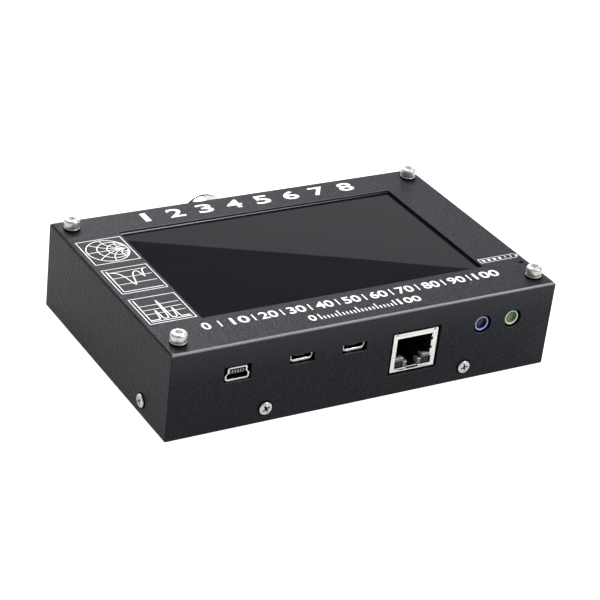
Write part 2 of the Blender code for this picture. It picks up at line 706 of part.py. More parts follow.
def make_display():
    glass = bmesh.new()
    box(glass, (GLASS_LEFT, GLASS_FRONT, GLASS_LOW), (GLASS_RIGHT, GLASS_REAR, GLASS_TOP))
    soften(piece("touch_glass", glass, DARK_GLASS), GLASS_THICK / 6, 1)
    panel = bmesh.new()
    low = (GLASS_LEFT + PANEL_INSET, GLASS_FRONT + PANEL_INSET, PANEL_LOW)
    box(panel, low, (GLASS_RIGHT - PANEL_INSET, GLASS_REAR - PANEL_INSET, PANEL_TOP))
    soften(piece("display_panel", panel, PANEL_GREY), PANEL_THICK / 8, 1)


def make_ribbon():
    # Flat cable from the rear of the panel round the main board's rear edge to its socket
    level = PANEL_LOW + RIBBON_LEVEL
    start = GLASS_REAR - PANEL_INSET + SEAT_GAP
    middle = (GLASS_REAR + SEAT_GAP, level - RIBBON_RADIUS)
    outer = [(start, level + RIBBON_THICK / 2)]
    inner = [(start, level - RIBBON_THICK / 2)]
    for step in range(RIBBON_STEPS + 1):
        angle = math.pi / 2 - math.pi * step / RIBBON_STEPS
        for outline, radius in (
            (outer, RIBBON_RADIUS + RIBBON_THICK / 2),
            (inner, RIBBON_RADIUS - RIBBON_THICK / 2),
        ):
            outline.append((middle[0] + radius * math.cos(angle), middle[1] + radius * math.sin(angle)))
    end = BOARD_REAR - RIBBON_SOCKET_INSET + SEAT_GAP
    outer.append((end, level - 2 * RIBBON_RADIUS - RIBBON_THICK / 2))
    inner.append((end, level - 2 * RIBBON_RADIUS + RIBBON_THICK / 2))
    film = bmesh.new()
    low = BOARD_SHIFT - RIBBON_WIDTH / 2
    prism(film, "X", outer + inner[::-1], low, low + RIBBON_WIDTH)
    piece("display_ribbon", film, RIBBON_AMBER, smooth=True)


def make_main_board():
    board = bmesh.new()
    box(board, (BOARD_LEFT, BOARD_FRONT, MAIN_LOW), (BOARD_RIGHT, BOARD_REAR, MAIN_TOP))
    uprights = [edge for edge in board.edges if abs(edge.verts[0].co.z - edge.verts[1].co.z) > 0]
    bmesh.ops.bevel(board, geom=uprights, offset=BOARD_THICK, segments=2, profile=0.5, affect="EDGES")
    made = piece("main_board", board, BOARD_BLUE)
    # Chips, ribbon socket and card socket are soldered under the board
    chips = bmesh.new()
    inside = MAIN_LOW + BOARD_THICK / 2
    for share_x, share_y, share_w, share_d in MAIN_CHIP_SHARES:
        x = BOARD_SHIFT + share_x * BOARD_WIDTH
        y = BOARD_MIDDLE + share_y * BOARD_DEPTH
        half_w = share_w * BOARD_WIDTH / 2
        half_d = share_d * BOARD_DEPTH / 2
        box(chips, (x - half_w, y - half_d, MAIN_LOW - CHIP_THICK), (x + half_w, y + half_d, inside))
    combine(made, "main_board_chips", chips, "UNION")
    rear = BOARD_REAR - RIBBON_SOCKET_INSET
    wide = RIBBON_WIDTH / 2 + RIBBON_SOCKET_HEIGHT
    corner = (BOARD_SHIFT - wide, rear - RIBBON_SOCKET_DEPTH, MAIN_LOW - RIBBON_SOCKET_HEIGHT)
    socket = bmesh.new()
    box(socket, corner, (BOARD_SHIFT + wide, rear, inside))
    combine(made, "ribbon_socket", socket, "UNION")
    left = BOARD_LEFT + CARD_SOCKET_INSET
    front = BOARD_MIDDLE + CARD_SOCKET_BACK - CARD_SOCKET_DEPTH / 2
    corner = (left, front, MAIN_LOW - CARD_SOCKET_HEIGHT)
    socket = bmesh.new()
    box(socket, corner, (left + CARD_SOCKET_WIDTH, front + CARD_SOCKET_DEPTH, inside))
    combine(made, "card_socket", socket, "UNION")


def make_headers():
    length = STRIP_PINS * PIN_PITCH
    start = BOARD_REAR - STRIP_REAR_INSET - length
    top = MAIN_LOW - SEAT_GAP
    low = top - SOCKET_HEIGHT
    base_low = RF_TOP + SEAT_GAP
    way = PIN_SIZE / 2 + SEAT_GAP
    half = STRIP_WIDTH / 2
    thin = PIN_SIZE / 2
    for name, sign in (("left", -1), ("right", 1)):
        x = BOARD_SHIFT + sign * STRIP_SPREAD
        socket = bmesh.new()
        box(socket, (x - half, start, low), (x + half, start + length, top))
        base = bmesh.new()
        box(base, (x - half, start, base_low), (x + half, start + length, base_low + PIN_BASE))
        ways = bmesh.new()
        pins = bmesh.new()
        for index in range(STRIP_PINS):
            y = start + (index + 1 / 2) * PIN_PITCH
            box(ways, (x - way, y - way, low - OVERRUN), (x + way, y + way, low + PIN_REACH + SEAT_GAP))
            box(pins, (x - thin, y - thin, base_low + PIN_BASE / 2), (x + thin, y + thin, low + PIN_REACH))
        strip = piece("socket_strip_" + name, socket, BLACK_PLASTIC)
        combine(strip, "socket_ways_" + name, ways, "DIFFERENCE")
        strip = piece("pin_strip_" + name, base, BLACK_PLASTIC)
        combine(strip, "pin_posts_" + name, pins, "UNION")


def make_buttons():
    top = MAIN_LOW - SEAT_GAP
    x = BOARD_LEFT + BUTTON_INSET
    half = BUTTON_BODY / 2
    hole = BUTTON_RADIUS + SEAT_GAP
    room = hole + BUTTON_COLLAR
    floor = top - BUTTON_HEIGHT
    lip = floor + BUTTON_COLLAR_THICK
    seat = lip + SEAT_GAP
    back = seat + BUTTON_COLLAR_THICK
    roof = back + BUTTON_TRAVEL_ROOM
    tip = floor - BUTTON_REACH
    collar = BUTTON_RADIUS + BUTTON_COLLAR
    for index, (name, surface) in enumerate((("reset", BLACK_PLASTIC), ("user", BUTTON_BLUE))):
        y = BOARD_MIDDLE + BUTTON_BACK + index * BUTTON_PITCH
        body = bmesh.new()
        box(body, (x - half, y - half, floor), (x + half, y + half, top))
        switch = piece(name + "_button_body", body, STEEL)
        bore = bmesh.new()
        profile = [(hole, floor - OVERRUN), (hole, lip), (room, lip), (room, roof)]
        turned(bore, "Z", (x, y), profile, HOLE_SIDES)
        combine(switch, name + "_button_bore", bore, "DIFFERENCE")
        plunger = bmesh.new()
        profile = [(BUTTON_RADIUS, tip), (BUTTON_RADIUS, seat), (collar, seat), (collar, back)]
        turned(plunger, "Z", (x, y), profile, HOLE_SIDES)
        piece(name + "_button", plunger, surface, smooth=True, origin=Vector((x, y, floor)))


def make_tongue(insert, name, axis, centre, mouth, back, level_sign):
    # The bar that carries a small socket's contacts, beside the board
    inward = 1 if back > mouth else -1
    gap = SHELL_WALL + 2 * SEAT_GAP
    half = MICRO_HALF_NARROW - gap
    level = centre[1] + level_sign * (MICRO_HEIGHT / 2 - gap - TONGUE_THICK / 2)
    bar = rectangle(centre[0] - half, centre[0] + half, level - TONGUE_THICK / 2, level + TONGUE_THICK / 2)
    tongue = bmesh.new()
    tip = mouth + inward * TONGUE_RECESS
    root = back - inward * OVERRUN
    prism(tongue, axis, bar, min(tip, root), max(tip, root))
    combine(insert, name + "_tongue", tongue, "UNION")


def make_usb_socket(name, centre, outline, mouth, length):
    # A plated shell, open in front, round a black insert
    back = mouth + length
    shell = bmesh.new()
    tube(shell, "Y", outline(0, centre), outline(SHELL_WALL, centre), mouth, back)
    piece(name + "_shell", shell, TINNED)
    insert = bmesh.new()
    block = back - length * SOCKET_BLOCK_SHARE
    prism(insert, "Y", outline(SHELL_WALL + SEAT_GAP, centre), block, back)
    made = piece(name + "_insert", insert, BLACK_PLASTIC)
    make_tongue(made, name, "Y", centre, mouth, back, 1)


def make_usb_sockets():
    make_usb_socket("mini_usb", (MINI_X, MINI_Z), mini_outline, FRONT + MINI_RECESS, MINI_LENGTH)
    for name, place in zip(("micro_usb_left", "micro_usb_right"), MICRO_XS):
        make_usb_socket(name, (place, MICRO_Z), micro_outline, FRONT + MICRO_RECESS, MICRO_LENGTH)


def make_ethernet():
    front = FRONT + ETHERNET_RECESS
    back = front + ETHERNET_LENGTH
    half = ETHERNET_WIDTH / 2
    wall = SHELL_WALL
    shell = bmesh.new()
    box(shell, (ETHERNET_X - half, front, ETHERNET_LOW), (ETHERNET_X + half, back, ETHERNET_TOP))
    shield = piece("ethernet_shield", shell, TINNED)
    hollow = bmesh.new()
    low = (ETHERNET_X - half + wall, front + wall, ETHERNET_LOW + wall)
    box(hollow, low, (ETHERNET_X + half - wall, back - wall, ETHERNET_TOP - wall))
    combine(shield, "ethernet_shield_hollow", hollow, "DIFFERENCE")
    mouth = bmesh.new()
    rim = half - ETHERNET_RIM_SIDE
    low = (ETHERNET_X - rim, front - OVERRUN, ETHERNET_LOW + ETHERNET_RIM_LOW)
    box(mouth, low, (ETHERNET_X + rim, front + wall + OVERRUN, ETHERNET_TOP - ETHERNET_RIM_SIDE))
    combine(shield, "ethernet_shield_mouth", mouth, "DIFFERENCE")
    gap = wall + SEAT_GAP
    block = bmesh.new()
    low = (ETHERNET_X - half + gap, front + gap, ETHERNET_LOW + gap)
    box(block, low, (ETHERNET_X + half - gap, back - gap, ETHERNET_TOP - gap))
    insert = piece("ethernet_insert", block, BLACK_PLASTIC)
    cavity = bmesh.new()
    floor = ETHERNET_LOW + ETHERNET_RIM_LOW
    roof = ETHERNET_TOP - ETHERNET_RIM_SIDE
    outline = [
        (LATCH_HALF, floor),
        (LATCH_HALF, floor + LATCH_HEIGHT),
        (SHOULDER_HALF, floor + LATCH_HEIGHT),
        (SHOULDER_HALF, floor + SHOULDER_HEIGHT),
        (ETHERNET_CAVITY_HALF, floor + SHOULDER_HEIGHT),
        (ETHERNET_CAVITY_HALF, roof),
    ]
    deep = front + gap + ETHERNET_CAVITY_DEPTH
    prism(cavity, "Y", mirrored(outline, (ETHERNET_X, 0)), front + gap - OVERRUN, deep)
    combine(insert, "ethernet_cavity", cavity, "DIFFERENCE")
    # Spring contacts slope down from the roof to a common block at the back of the cavity
    near = front + gap + LATCH_HALF
    far = deep - SEAT_GAP
    high = roof - SEAT_GAP
    fall = CONTACT_FALL
    comb = bmesh.new()
    half = (CONTACTS - 1) / 2 * CONTACT_PITCH + CONTACT_SIZE
    low = (ETHERNET_X - half, far - CONTACT_BAR, high - fall - CONTACT_SIZE)
    box(comb, low, (ETHERNET_X + half, far, high))
    made = piece("ethernet_contacts", comb, GOLD)
    wires = bmesh.new()
    for index in range(CONTACTS):
        x = ETHERNET_X + (index - (CONTACTS - 1) / 2) * CONTACT_PITCH
        side = [
            (near, high),
            (near, high - CONTACT_SIZE),
            (far - CONTACT_BAR / 2, high - CONTACT_SIZE / 2 - fall),
            (far - CONTACT_BAR / 2, high + CONTACT_SIZE / 2 - fall),
        ]
        prism(wires, "X", side, x - CONTACT_SIZE / 2, x + CONTACT_SIZE / 2)
    combine(made, "ethernet_contact_wires", wires, "UNION")


def make_line_jacks():
    mouth = FRONT + LINE_RECESS
    body_front = FRONT + SHEET + SEAT_GAP
    for name, place, surface in (
        ("line_in_jack", LINE_IN_X, JACK_BLUE),
        ("line_out_jack", LINE_OUT_X, JACK_GREEN),
    ):
        shape = bmesh.new()
        half = LINE_BODY_HALF
        low = (place - half, body_front, LINE_Z - LINE_DROP + SEAT_GAP)
        box(shape, low, (place + half, body_front + LINE_BODY_LENGTH, MAIN_LOW - SEAT_GAP))
        jack = piece(name, shape, surface)
        nose = bmesh.new()
        ring = circle(LINE_NOSE_RADIUS, CAP_SIDES, (place, LINE_Z))
        prism(nose, "Y", ring, mouth, BOARD_FRONT - SEAT_GAP)
        combine(jack, name + "_nose", nose, "UNION")
        bore = bmesh.new()
        ring = circle(LINE_BORE_RADIUS, CAP_SIDES, (place, LINE_Z))
        prism(bore, "Y", ring, mouth - OVERRUN, mouth + LINE_BORE_DEPTH)
        combine(jack, name + "_bore", bore, "DIFFERENCE")


def make_standoffs():
    low = RF_TOP + SEAT_GAP
    high = CEILING - SEAT_GAP
    for name, post in POSTS.items():
        shape = bmesh.new()
        bore = circle(CAP_HOLE, CAP_SIDES, post)
        tube(shape, "Z", hexagon(STANDOFF_FLATS, CAP_SIDES, post), bore, low, high)
        piece("standoff_" + name, shape, BRASS)


def make_top_screws():
    # Socket cap screw with its spring washer, which stays on the shank
    washer = TOP + FASTENER_GAP
    seat = washer + WASHER_THICK
    head = seat + CAP_HEAD_HEIGHT
    tip = TOP - CAP_SCREW_REACH
    for name, post in POSTS.items():
        socket = hexagon(CAP_SOCKET_FLATS, CAP_SIDES, post)
        rings = [(socket, head - CAP_SOCKET_DEPTH), (socket, head)]
        for radius, along in (
            (CAP_HEAD_RADIUS - CAP_HEAD_EDGE, head),
            (CAP_HEAD_RADIUS, head - CAP_HEAD_EDGE),
            (CAP_HEAD_RADIUS, seat),
            (WASHER_RADIUS, seat),
            (WASHER_RADIUS, washer),
            (CAP_SCREW_RADIUS, washer),
            (CAP_SCREW_RADIUS, tip),
        ):
            rings.append((circle(radius, CAP_SIDES, post), along))
        screw = bmesh.new()
        skin(screw, "Z", rings)
        piece("top_screw_" + name, screw, STEEL, smooth=True)


def cross_outline():
    # Three corners to a quarter turn, in step with the corners of a twelve-sided ring
    arm = PAN_HEAD_RADIUS * CROSS_LENGTH_SHARE
    thin = PAN_HEAD_RADIUS * CROSS_WIDTH_SHARE
    outline = []
    for turns in range(4):
        spin = Matrix.Rotation(turns * math.pi / 2, 2)
        for corner in ((arm, thin), (thin, thin), (thin, arm)):
            placed = spin @ Vector(corner)
            outline.append((placed.x, placed.y))
    return outline


def make_pan_screw(name, seat, outward, length):
    # The head stands out from the seat point, the shank runs the other way
    cross = cross_outline()
    rings = [(cross, PAN_HEAD_HEIGHT * (1 - CROSS_DEPTH_SHARE)), (cross, PAN_HEAD_HEIGHT)]
    for radius_share, height_share in PAN_CROWN_SHARES:
        ring = circle(PAN_HEAD_RADIUS * radius_share, SCREW_SIDES, share=0.5)
        rings.append((ring, PAN_HEAD_HEIGHT * height_share))
    shank = circle(PAN_SCREW_RADIUS, SCREW_SIDES, share=0.5)
    rings += [(shank, 0), (shank, -length)]
    screw = bmesh.new()
    skin(screw, "Z", rings)
    turn = outward.to_track_quat("Z", "Y").to_matrix().to_4x4()
    bmesh.ops.transform(screw, matrix=Matrix.Translation(seat) @ turn, verts=screw.verts)
    piece(name, screw, STEEL, smooth=True)


def make_pan_screws():
    level = SIDE_SCREW_LEVEL
    ends = zip(("left", "right"), END_SCREW_XS)
    for name, x in ends:
        seat = Vector((x, FRONT - FASTENER_GAP, level))
        make_pan_screw("side_screw_front_" + name, seat, Vector((0, -1, 0)), SIDE_SCREW_LENGTH)
        seat = Vector((x, REAR + FASTENER_GAP, level))
        make_pan_screw("side_screw_rear_" + name, seat, Vector((0, 1, 0)), SIDE_SCREW_LENGTH)
    seat = Vector((LEFT - FASTENER_GAP, WALL_SCREW_Y, level))
    make_pan_screw("side_screw_left", seat, Vector((-1, 0, 0)), SIDE_SCREW_LENGTH)
    seat = Vector((RIGHT + FASTENER_GAP, WALL_SCREW_Y, level))
    make_pan_screw("side_screw_right", seat, Vector((1, 0, 0)), SIDE_SCREW_LENGTH)
    for name, (x, y) in POSTS.items():
        seat = Vector((x, y, RF_LOW - FASTENER_GAP))
        make_pan_screw("board_screw_" + name, seat, Vector((0, 0, -1)), BOARD_SCREW_LENGTH)


def make_rf_board():
    side = CASE_WIDTH / 2 - SHEET - RF_BOARD_MARGIN
    end = CASE_DEPTH / 2 - SHEET - RF_BOARD_MARGIN
    board = bmesh.new()
    box(board, (-side, -end, RF_LOW), (side, end, RF_TOP))
    made = piece("rf_board", board, BOARD_BLACK)
    gaps = bmesh.new()
    low = RF_LOW - OVERRUN
    high = RF_TOP + OVERRUN
    half = ETHERNET_WIDTH / 2 + ETHERNET_CUT
    deep = FRONT + ETHERNET_RECESS + ETHERNET_LENGTH + ETHERNET_CUT
    box(gaps, (ETHERNET_X - half, -end - OVERRUN, low), (ETHERNET_X + half, deep, high))
    half = jack_notch()
    near = JACK_INSIDE - JACK_NOTCH_GAP
    box(gaps, (JACK_X - half, near, low), (JACK_X + half, end + OVERRUN, high))
    for post in POSTS.values():
        prism(gaps, "Z", circle(PAN_HOLE, SCREW_SIDES, post), low, high)
    combine(made, "rf_board_gaps", gaps, "DIFFERENCE")
    # Chips, the pad under the jack's pin and the battery's socket are soldered to the board
    chips = bmesh.new()
    inside = RF_LOW + BOARD_THICK / 2
    for share_x, share_y, share_w, share_d in RF_CHIP_SHARES:
        x = share_x * CASE_WIDTH
        y = share_y * CASE_DEPTH
        half_w = share_w * CASE_WIDTH / 2
        half_d = share_d * CASE_DEPTH / 2
        box(chips, (x - half_w, y - half_d, inside), (x + half_w, y + half_d, RF_TOP + CHIP_THICK))
    combine(made, "rf_board_chips", chips, "UNION")
    pad = bmesh.new()
    half = JACK_PAD_WIDTH / 2
    top = JACK_Z - JACK_PIN_RADIUS - SEAT_GAP
    box(pad, (JACK_X - half, near - JACK_PAD_DEPTH, inside), (JACK_X + half, near - SEAT_GAP, top))
    combine(made, "rf_jack_pad", pad, "UNION")
    half = PLUG_WIDTH / 2
    start = PLUG_LEFT + PLUG_LENGTH + SEAT_GAP
    corner = (start, BATTERY_SHIFT - half, RF_LOW - SEAT_GAP - PLUG_HEIGHT)
    socket = bmesh.new()
    box(socket, corner, (start + PLUG_SOCKET_LENGTH, BATTERY_SHIFT + half, inside))
    combine(made, "battery_socket", socket, "UNION")


def make_rf_can():
    left = JACK_X - CAN_WIDTH / 2
    right = JACK_X + CAN_WIDTH / 2
    rear = REAR - CAN_REAR_INSET
    front = rear - CAN_DEPTH
    low = RF_TOP + SEAT_GAP
    top = low + CAN_HEIGHT
    shell = bmesh.new()
    box(shell, (left, front, low), (right, rear, top))
    rim = [edge for edge in shell.edges if max(vert.co.z for vert in edge.verts) > (low + top) / 2]
    bmesh.ops.bevel(shell, geom=rim, offset=CAN_WALL, segments=2, profile=0.5, affect="EDGES")
    made = piece("rf_can", shell, TINNED)
    hollow = bmesh.new()
    box(
        hollow,
        (left + CAN_WALL, front + CAN_WALL, low - OVERRUN),
        (right - CAN_WALL, rear - CAN_WALL, top - CAN_WALL),
    )
    combine(made, "rf_can_hollow", hollow, "DIFFERENCE")


def make_rf_jack():
    centre = (JACK_X, JACK_Z)
    rim = REAR + JACK_REACH
    seat = rim - JACK_BORE_DEPTH
    collar_end = JACK_INSIDE + JACK_COLLAR_THICK
    collar = hexagon(JACK_COLLAR_FLATS, BARREL_SIDES, centre)
    thread = circle(JACK_THREAD_RADIUS, BARREL_SIDES, centre)
    bore = circle(JACK_BORE_RADIUS, BARREL_SIDES, centre)
    core = circle(JACK_CORE_RADIUS, BARREL_SIDES, centre)
    barrel = bmesh.new()
    rings = [
        (core, JACK_INSIDE),
        (collar, JACK_INSIDE),
        (collar, collar_end),
        (thread, collar_end),
        (thread, rim - JACK_RIM_EDGE),
        (circle(JACK_THREAD_RADIUS - JACK_RIM_EDGE, BARREL_SIDES, centre), rim),
        (bore, rim),
        (bore, seat),
        (core, seat),
    ]
    skin(barrel, "Y", rings, closed=True)
    piece("rf_jack_body", barrel, NICKEL, smooth=True)
    nut = bmesh.new()
    hole = circle(JACK_THREAD_RADIUS + SEAT_GAP, BARREL_SIDES, centre)
    outer = hexagon(JACK_NUT_FLATS, BARREL_SIDES, centre)
    tube(nut, "Y", outer, hole, REAR + SEAT_GAP, REAR + SEAT_GAP + JACK_NUT_THICK)
    piece("rf_jack_nut", nut, NICKEL)
    insulator = bmesh.new()
    outer = circle(JACK_CORE_RADIUS - SEAT_GAP, CAP_SIDES, centre)
    inner = circle(JACK_PIN_RADIUS + SEAT_GAP, CAP_SIDES, centre)
    tube(insulator, "Y", outer, inner, JACK_INSIDE, seat)
    piece("rf_jack_insulator", insulator, PTFE, smooth=True)
    pin = bmesh.new()
    tip = rim - JACK_PIN_RECESS
    profile = [
        (JACK_PIN_RADIUS, REAR - SHEET - JACK_PIN_TAIL),
        (JACK_PIN_RADIUS, tip),
        (JACK_PIN_BORE, tip),
        (JACK_PIN_BORE, tip - 2 * JACK_PIN_RADIUS),
    ]
    turned(pin, "Y", centre, profile, CAP_SIDES)
    piece("rf_jack_pin", pin, GOLD, smooth=True)


def make_battery():
    low = FLOOR_TOP + SEAT_GAP
    half = BATTERY_WIDTH / 2
    cell = bmesh.new()
    corner = (BATTERY_LEFT, BATTERY_SHIFT - half, low)
    box(cell, corner, (BATTERY_RIGHT, BATTERY_SHIFT + half, low + BATTERY_THICK))
    soften(piece("battery_cell", cell, CELL_SILVER, smooth=True), BATTERY_EDGE, 2)
    top = RF_LOW - SEAT_GAP
    wide = PLUG_WIDTH / 2
    plug = bmesh.new()
    corner = (PLUG_LEFT, BATTERY_SHIFT - wide, top - PLUG_HEIGHT)
    box(plug, corner, (PLUG_LEFT + PLUG_LENGTH, BATTERY_SHIFT + wide, top))
    soften(piece("battery_plug", plug, WHITE_PLASTIC), PLUG_HEIGHT / 12, 1)
    level = low + BATTERY_THICK / 2
    entry = top - PLUG_HEIGHT / 2
    for name, sign, surface in (("battery_lead_red", 1, RED_LEAD), ("battery_lead_black", -1, BLACK_LEAD)):
        y = BATTERY_SHIFT + sign * LEAD_SPREAD
        path = []
        for step in range(LEAD_STEPS + 1):
            share = step / LEAD_STEPS
            x = BATTERY_RIGHT + SEAT_GAP + share * (PLUG_DISTANCE - SEAT_GAP)
            ease = share * share * (3 - 2 * share)
            z = level + ease * (entry - level) - LEAD_SAG * math.sin(math.pi * share) ** 2
            path.append((x, y, z))
        wire(name, path, LEAD_RADIUS, surface)


def make_charger():
    left = CHARGER_RIGHT - CHARGER_WIDTH
    front = FRONT + CHARGER_FRONT
    rear = front + CHARGER_DEPTH
    board = bmesh.new()
    box(board, (left, front, CHARGER_LOW), (CHARGER_RIGHT, rear, CHARGER_TOP))
    made = piece("charger_board", board, BOARD_BLUE)
    legs = bmesh.new()
    half = CHARGER_LEG / 2
    for x in (left + CHARGER_LEG_INSET, CHARGER_RIGHT - CHARGER_LEG_INSET):
        for y in (front + CHARGER_LEG_INSET, rear - CHARGER_LEG_INSET):
            box(legs, (x - half, y - half, RF_TOP + SEAT_GAP), (x + half, y + half, CHARGER_LOW + half))
    combine(made, "charger_legs", legs, "UNION")
    # Socket with its opening in the right wall: shell, closed back and tongue in one
    centre = (CHARGE_SOCKET_Y, CHARGE_SOCKET_Z)
    mouth = RIGHT - CHARGE_SOCKET_RECESS
    back = mouth - MICRO_LENGTH
    outer = micro_outline(0, centre, -1)
    inner = micro_outline(SHELL_WALL, centre, -1)
    socket = bmesh.new()
    floor = back + MICRO_LENGTH * SOCKET_BLOCK_SHARE
    skin(socket, "X", [(outer, back), (outer, mouth), (inner, mouth), (inner, floor)])
    made = piece("charge_socket", socket, TINNED)
    make_tongue(made, "charge_socket", "X", centre, mouth, back, -1)
    # Lamp on two legs under the hole in the top
    lens = bmesh.new()
    foot = GLASS_TOP - LAMP_HEIGHT
    ring = foot + LAMP_FLANGE - LAMP_RADIUS
    profile = [
        (LAMP_FLANGE, foot),
        (LAMP_FLANGE, ring),
        (LAMP_RADIUS, ring),
        (LAMP_RADIUS, GLASS_TOP - LAMP_RADIUS / 2),
        (LAMP_RADIUS / 2, GLASS_TOP),
    ]
    turned(lens, "Z", (LAMP_X, LAMP_Y), profile, SCREW_SIDES)
    lamp = piece("charge_lamp", lens, LAMP_RED, smooth=True)
    legs = bmesh.new()
    half = LAMP_LEG / 2
    for sign in (-1, 1):
        y = LAMP_Y + sign * LAMP_LEG_SPREAD
        corner = (LAMP_X - half, y - half, CHARGER_TOP + SEAT_GAP)
        box(legs, corner, (LAMP_X + half, y + half, ring))
    combine(lamp, "charge_lamp_legs", legs, "UNION")


def make_switch():
    # The pivot lies in the plane of the wall's outer face and stands upright
    pivot = Vector((RIGHT, SWITCH_BACK, SWITCH_Z))
    half = SWITCH_LENGTH / 2
    tall = SWITCH_HEIGHT / 2
    rim_low = RIGHT + SEAT_GAP
    rim_high = rim_low + SWITCH_RIM_THICK
    centre = (SWITCH_BACK, SWITCH_Z)
    body = bmesh.new()
    prism(body, "X", rounded(half, tall, SWITCH_LAP, 2, centre), rim_low, rim_high)
    housing = piece("switch_housing", body, BLACK_PLASTIC)
    neck = bmesh.new()
    inset = SWITCH_LAP + SEAT_GAP
    back = RIGHT - SWITCH_DEPTH
    outline = rectangle(
        SWITCH_BACK - half + inset,
        SWITCH_BACK + half - inset,
        SWITCH_Z - tall + inset,
        SWITCH_Z + tall - inset,
    )
    prism(neck, "X", outline, back, rim_low + SWITCH_RIM_THICK / 2)
    combine(housing, "switch_housing_body", neck, "UNION")
    pocket = bmesh.new()
    inset += SWITCH_WALL
    outline = rectangle(
        SWITCH_BACK - half + inset,
        SWITCH_BACK + half - inset,
        SWITCH_Z - tall + inset,
        SWITCH_Z + tall - inset,
    )
    floor = RIGHT - ROCKER_SKIRT - ROCKER_CROWN
    prism(pocket, "X", outline, floor, rim_high + OVERRUN)
    combine(housing, "switch_pocket", pocket, "DIFFERENCE")
    holes = bmesh.new()
    reach = tall - inset + ROCKER_PIN_REACH + SEAT_GAP
    ring = circle(ROCKER_PIN_RADIUS + SEAT_GAP, HOLE_SIDES, (RIGHT, SWITCH_BACK))
    prism(holes, "Z", ring, SWITCH_Z - reach, SWITCH_Z + reach)
    combine(housing, "switch_pin_holes", holes, "DIFFERENCE")
    # Rocker: two flat faces that meet in a shallow valley, on two pins
    arm = half - inset - ROCKER_END_GAP
    rise = arm * math.tan(ROCKER_TILT)
    foot = arm * ROCKER_FOOT_SHARE
    side = [
        (0, ROCKER_CROWN),
        (arm, ROCKER_CROWN + rise),
        (arm, 0),
        (foot, -ROCKER_SKIRT),
        (-foot, -ROCKER_SKIRT),
        (-arm, 0),
        (-arm, ROCKER_CROWN + rise),
    ]
    rocker = bmesh.new()
    thick = tall - inset - SEAT_GAP
    outline = [(RIGHT + out, SWITCH_BACK + along) for along, out in side]
    prism(rocker, "Z", outline, SWITCH_Z - thick, SWITCH_Z + thick)
    made = piece("switch_rocker", rocker, BLACK_PLASTIC, origin=pivot)
    pins = bmesh.new()
    reach = tall - inset + ROCKER_PIN_REACH
    ring = circle(ROCKER_PIN_RADIUS, HOLE_SIDES, (RIGHT, SWITCH_BACK))
    prism(pins, "Z", ring, SWITCH_Z - reach, SWITCH_Z + reach)
    combine(made, "switch_rocker_pins", pins, "UNION")
    made.rotation_euler.z = ROCKER_TILT
    blades = bmesh.new()
    tip = back - TERMINAL_LENGTH
    thin = TERMINAL_THICK / 2
    broad = TERMINAL_WIDTH / 2
    for name, sign in (("front", -1), ("rear", 1)):
        y = SWITCH_BACK + sign * TERMINAL_SPREAD
        box(blades, (tip, y - thin, SWITCH_Z - broad), (back + thin, y + thin, SWITCH_Z + broad))
        start = Vector((tip - SEAT_GAP, y, SWITCH_Z))
        end = Vector((start.x - TERMINAL_LENGTH, y, RF_TOP + SEAT_GAP))
        path = bent_path(start, Vector((end.x, y, SWITCH_Z)), end, LEAD_STEPS)
        wire("switch_lead_" + name, path, SWITCH_LEAD_RADIUS, RED_LEAD)
    combine(housing, "switch_terminals", blades, "UNION")


make_top_cover()
make_bottom_cover()
make_display()
make_ribbon()
make_main_board()
make_headers()
make_buttons()
make_usb_sockets()
make_ethernet()
make_line_jacks()
make_standoffs()
make_top_screws()
make_pan_screws()
make_rf_board()
make_rf_can()
make_rf_jack()
make_battery()
make_charger()
make_switch()
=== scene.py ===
# Looks of a flat antenna analyzer with a touch display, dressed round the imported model
import math
import bmesh
import bpy
from mathutils import Matrix, Vector


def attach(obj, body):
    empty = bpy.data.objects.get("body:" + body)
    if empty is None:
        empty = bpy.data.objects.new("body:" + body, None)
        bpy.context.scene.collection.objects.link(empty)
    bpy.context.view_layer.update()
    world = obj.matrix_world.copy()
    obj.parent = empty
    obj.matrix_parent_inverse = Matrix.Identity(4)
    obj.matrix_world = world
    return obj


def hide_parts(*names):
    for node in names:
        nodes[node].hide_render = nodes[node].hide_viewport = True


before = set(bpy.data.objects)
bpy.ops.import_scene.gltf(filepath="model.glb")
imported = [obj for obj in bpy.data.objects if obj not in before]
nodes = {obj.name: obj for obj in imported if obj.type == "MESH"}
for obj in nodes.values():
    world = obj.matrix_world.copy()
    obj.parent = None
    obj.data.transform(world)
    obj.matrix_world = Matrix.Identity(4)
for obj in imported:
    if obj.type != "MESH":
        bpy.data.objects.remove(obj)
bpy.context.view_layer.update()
mm = 0.001
print("frame loaded,", len(nodes), "nodes")

# where the wall and top faces of the case lie, in millimetres
case = {"left": -67.5, "right": 67.5, "front": -43.25, "rear": 43.25, "low": 0.1, "top": 29.4, "sheet": 0.8}


# helpers for modelling by hand
def useOnly(piece):
    if bpy.context.mode != "OBJECT":
        bpy.ops.object.mode_set(mode="OBJECT")
    bpy.ops.object.select_all(action="DESELECT")
    piece.select_set(True)
    bpy.context.view_layer.objects.active = piece


def startEdit(piece, what="FACE"):
    useOnly(piece)
    bpy.ops.object.mode_set(mode="EDIT")
    bpy.ops.mesh.select_mode(type=what)
    bpy.ops.mesh.select_all(action="DESELECT")


def endEdit():
    bpy.ops.object.mode_set(mode="OBJECT")


def pickFaces(piece, test):
    # test gets a face's middle in millimetres and its normal
    bpy.ops.mesh.select_all(action="DESELECT")
    mesh = bmesh.from_edit_mesh(piece.data)
    for face in mesh.faces:
        if test(face.calc_center_median() / mm, face.normal):
            face.select_set(True)
    bmesh.update_edit_mesh(piece.data)


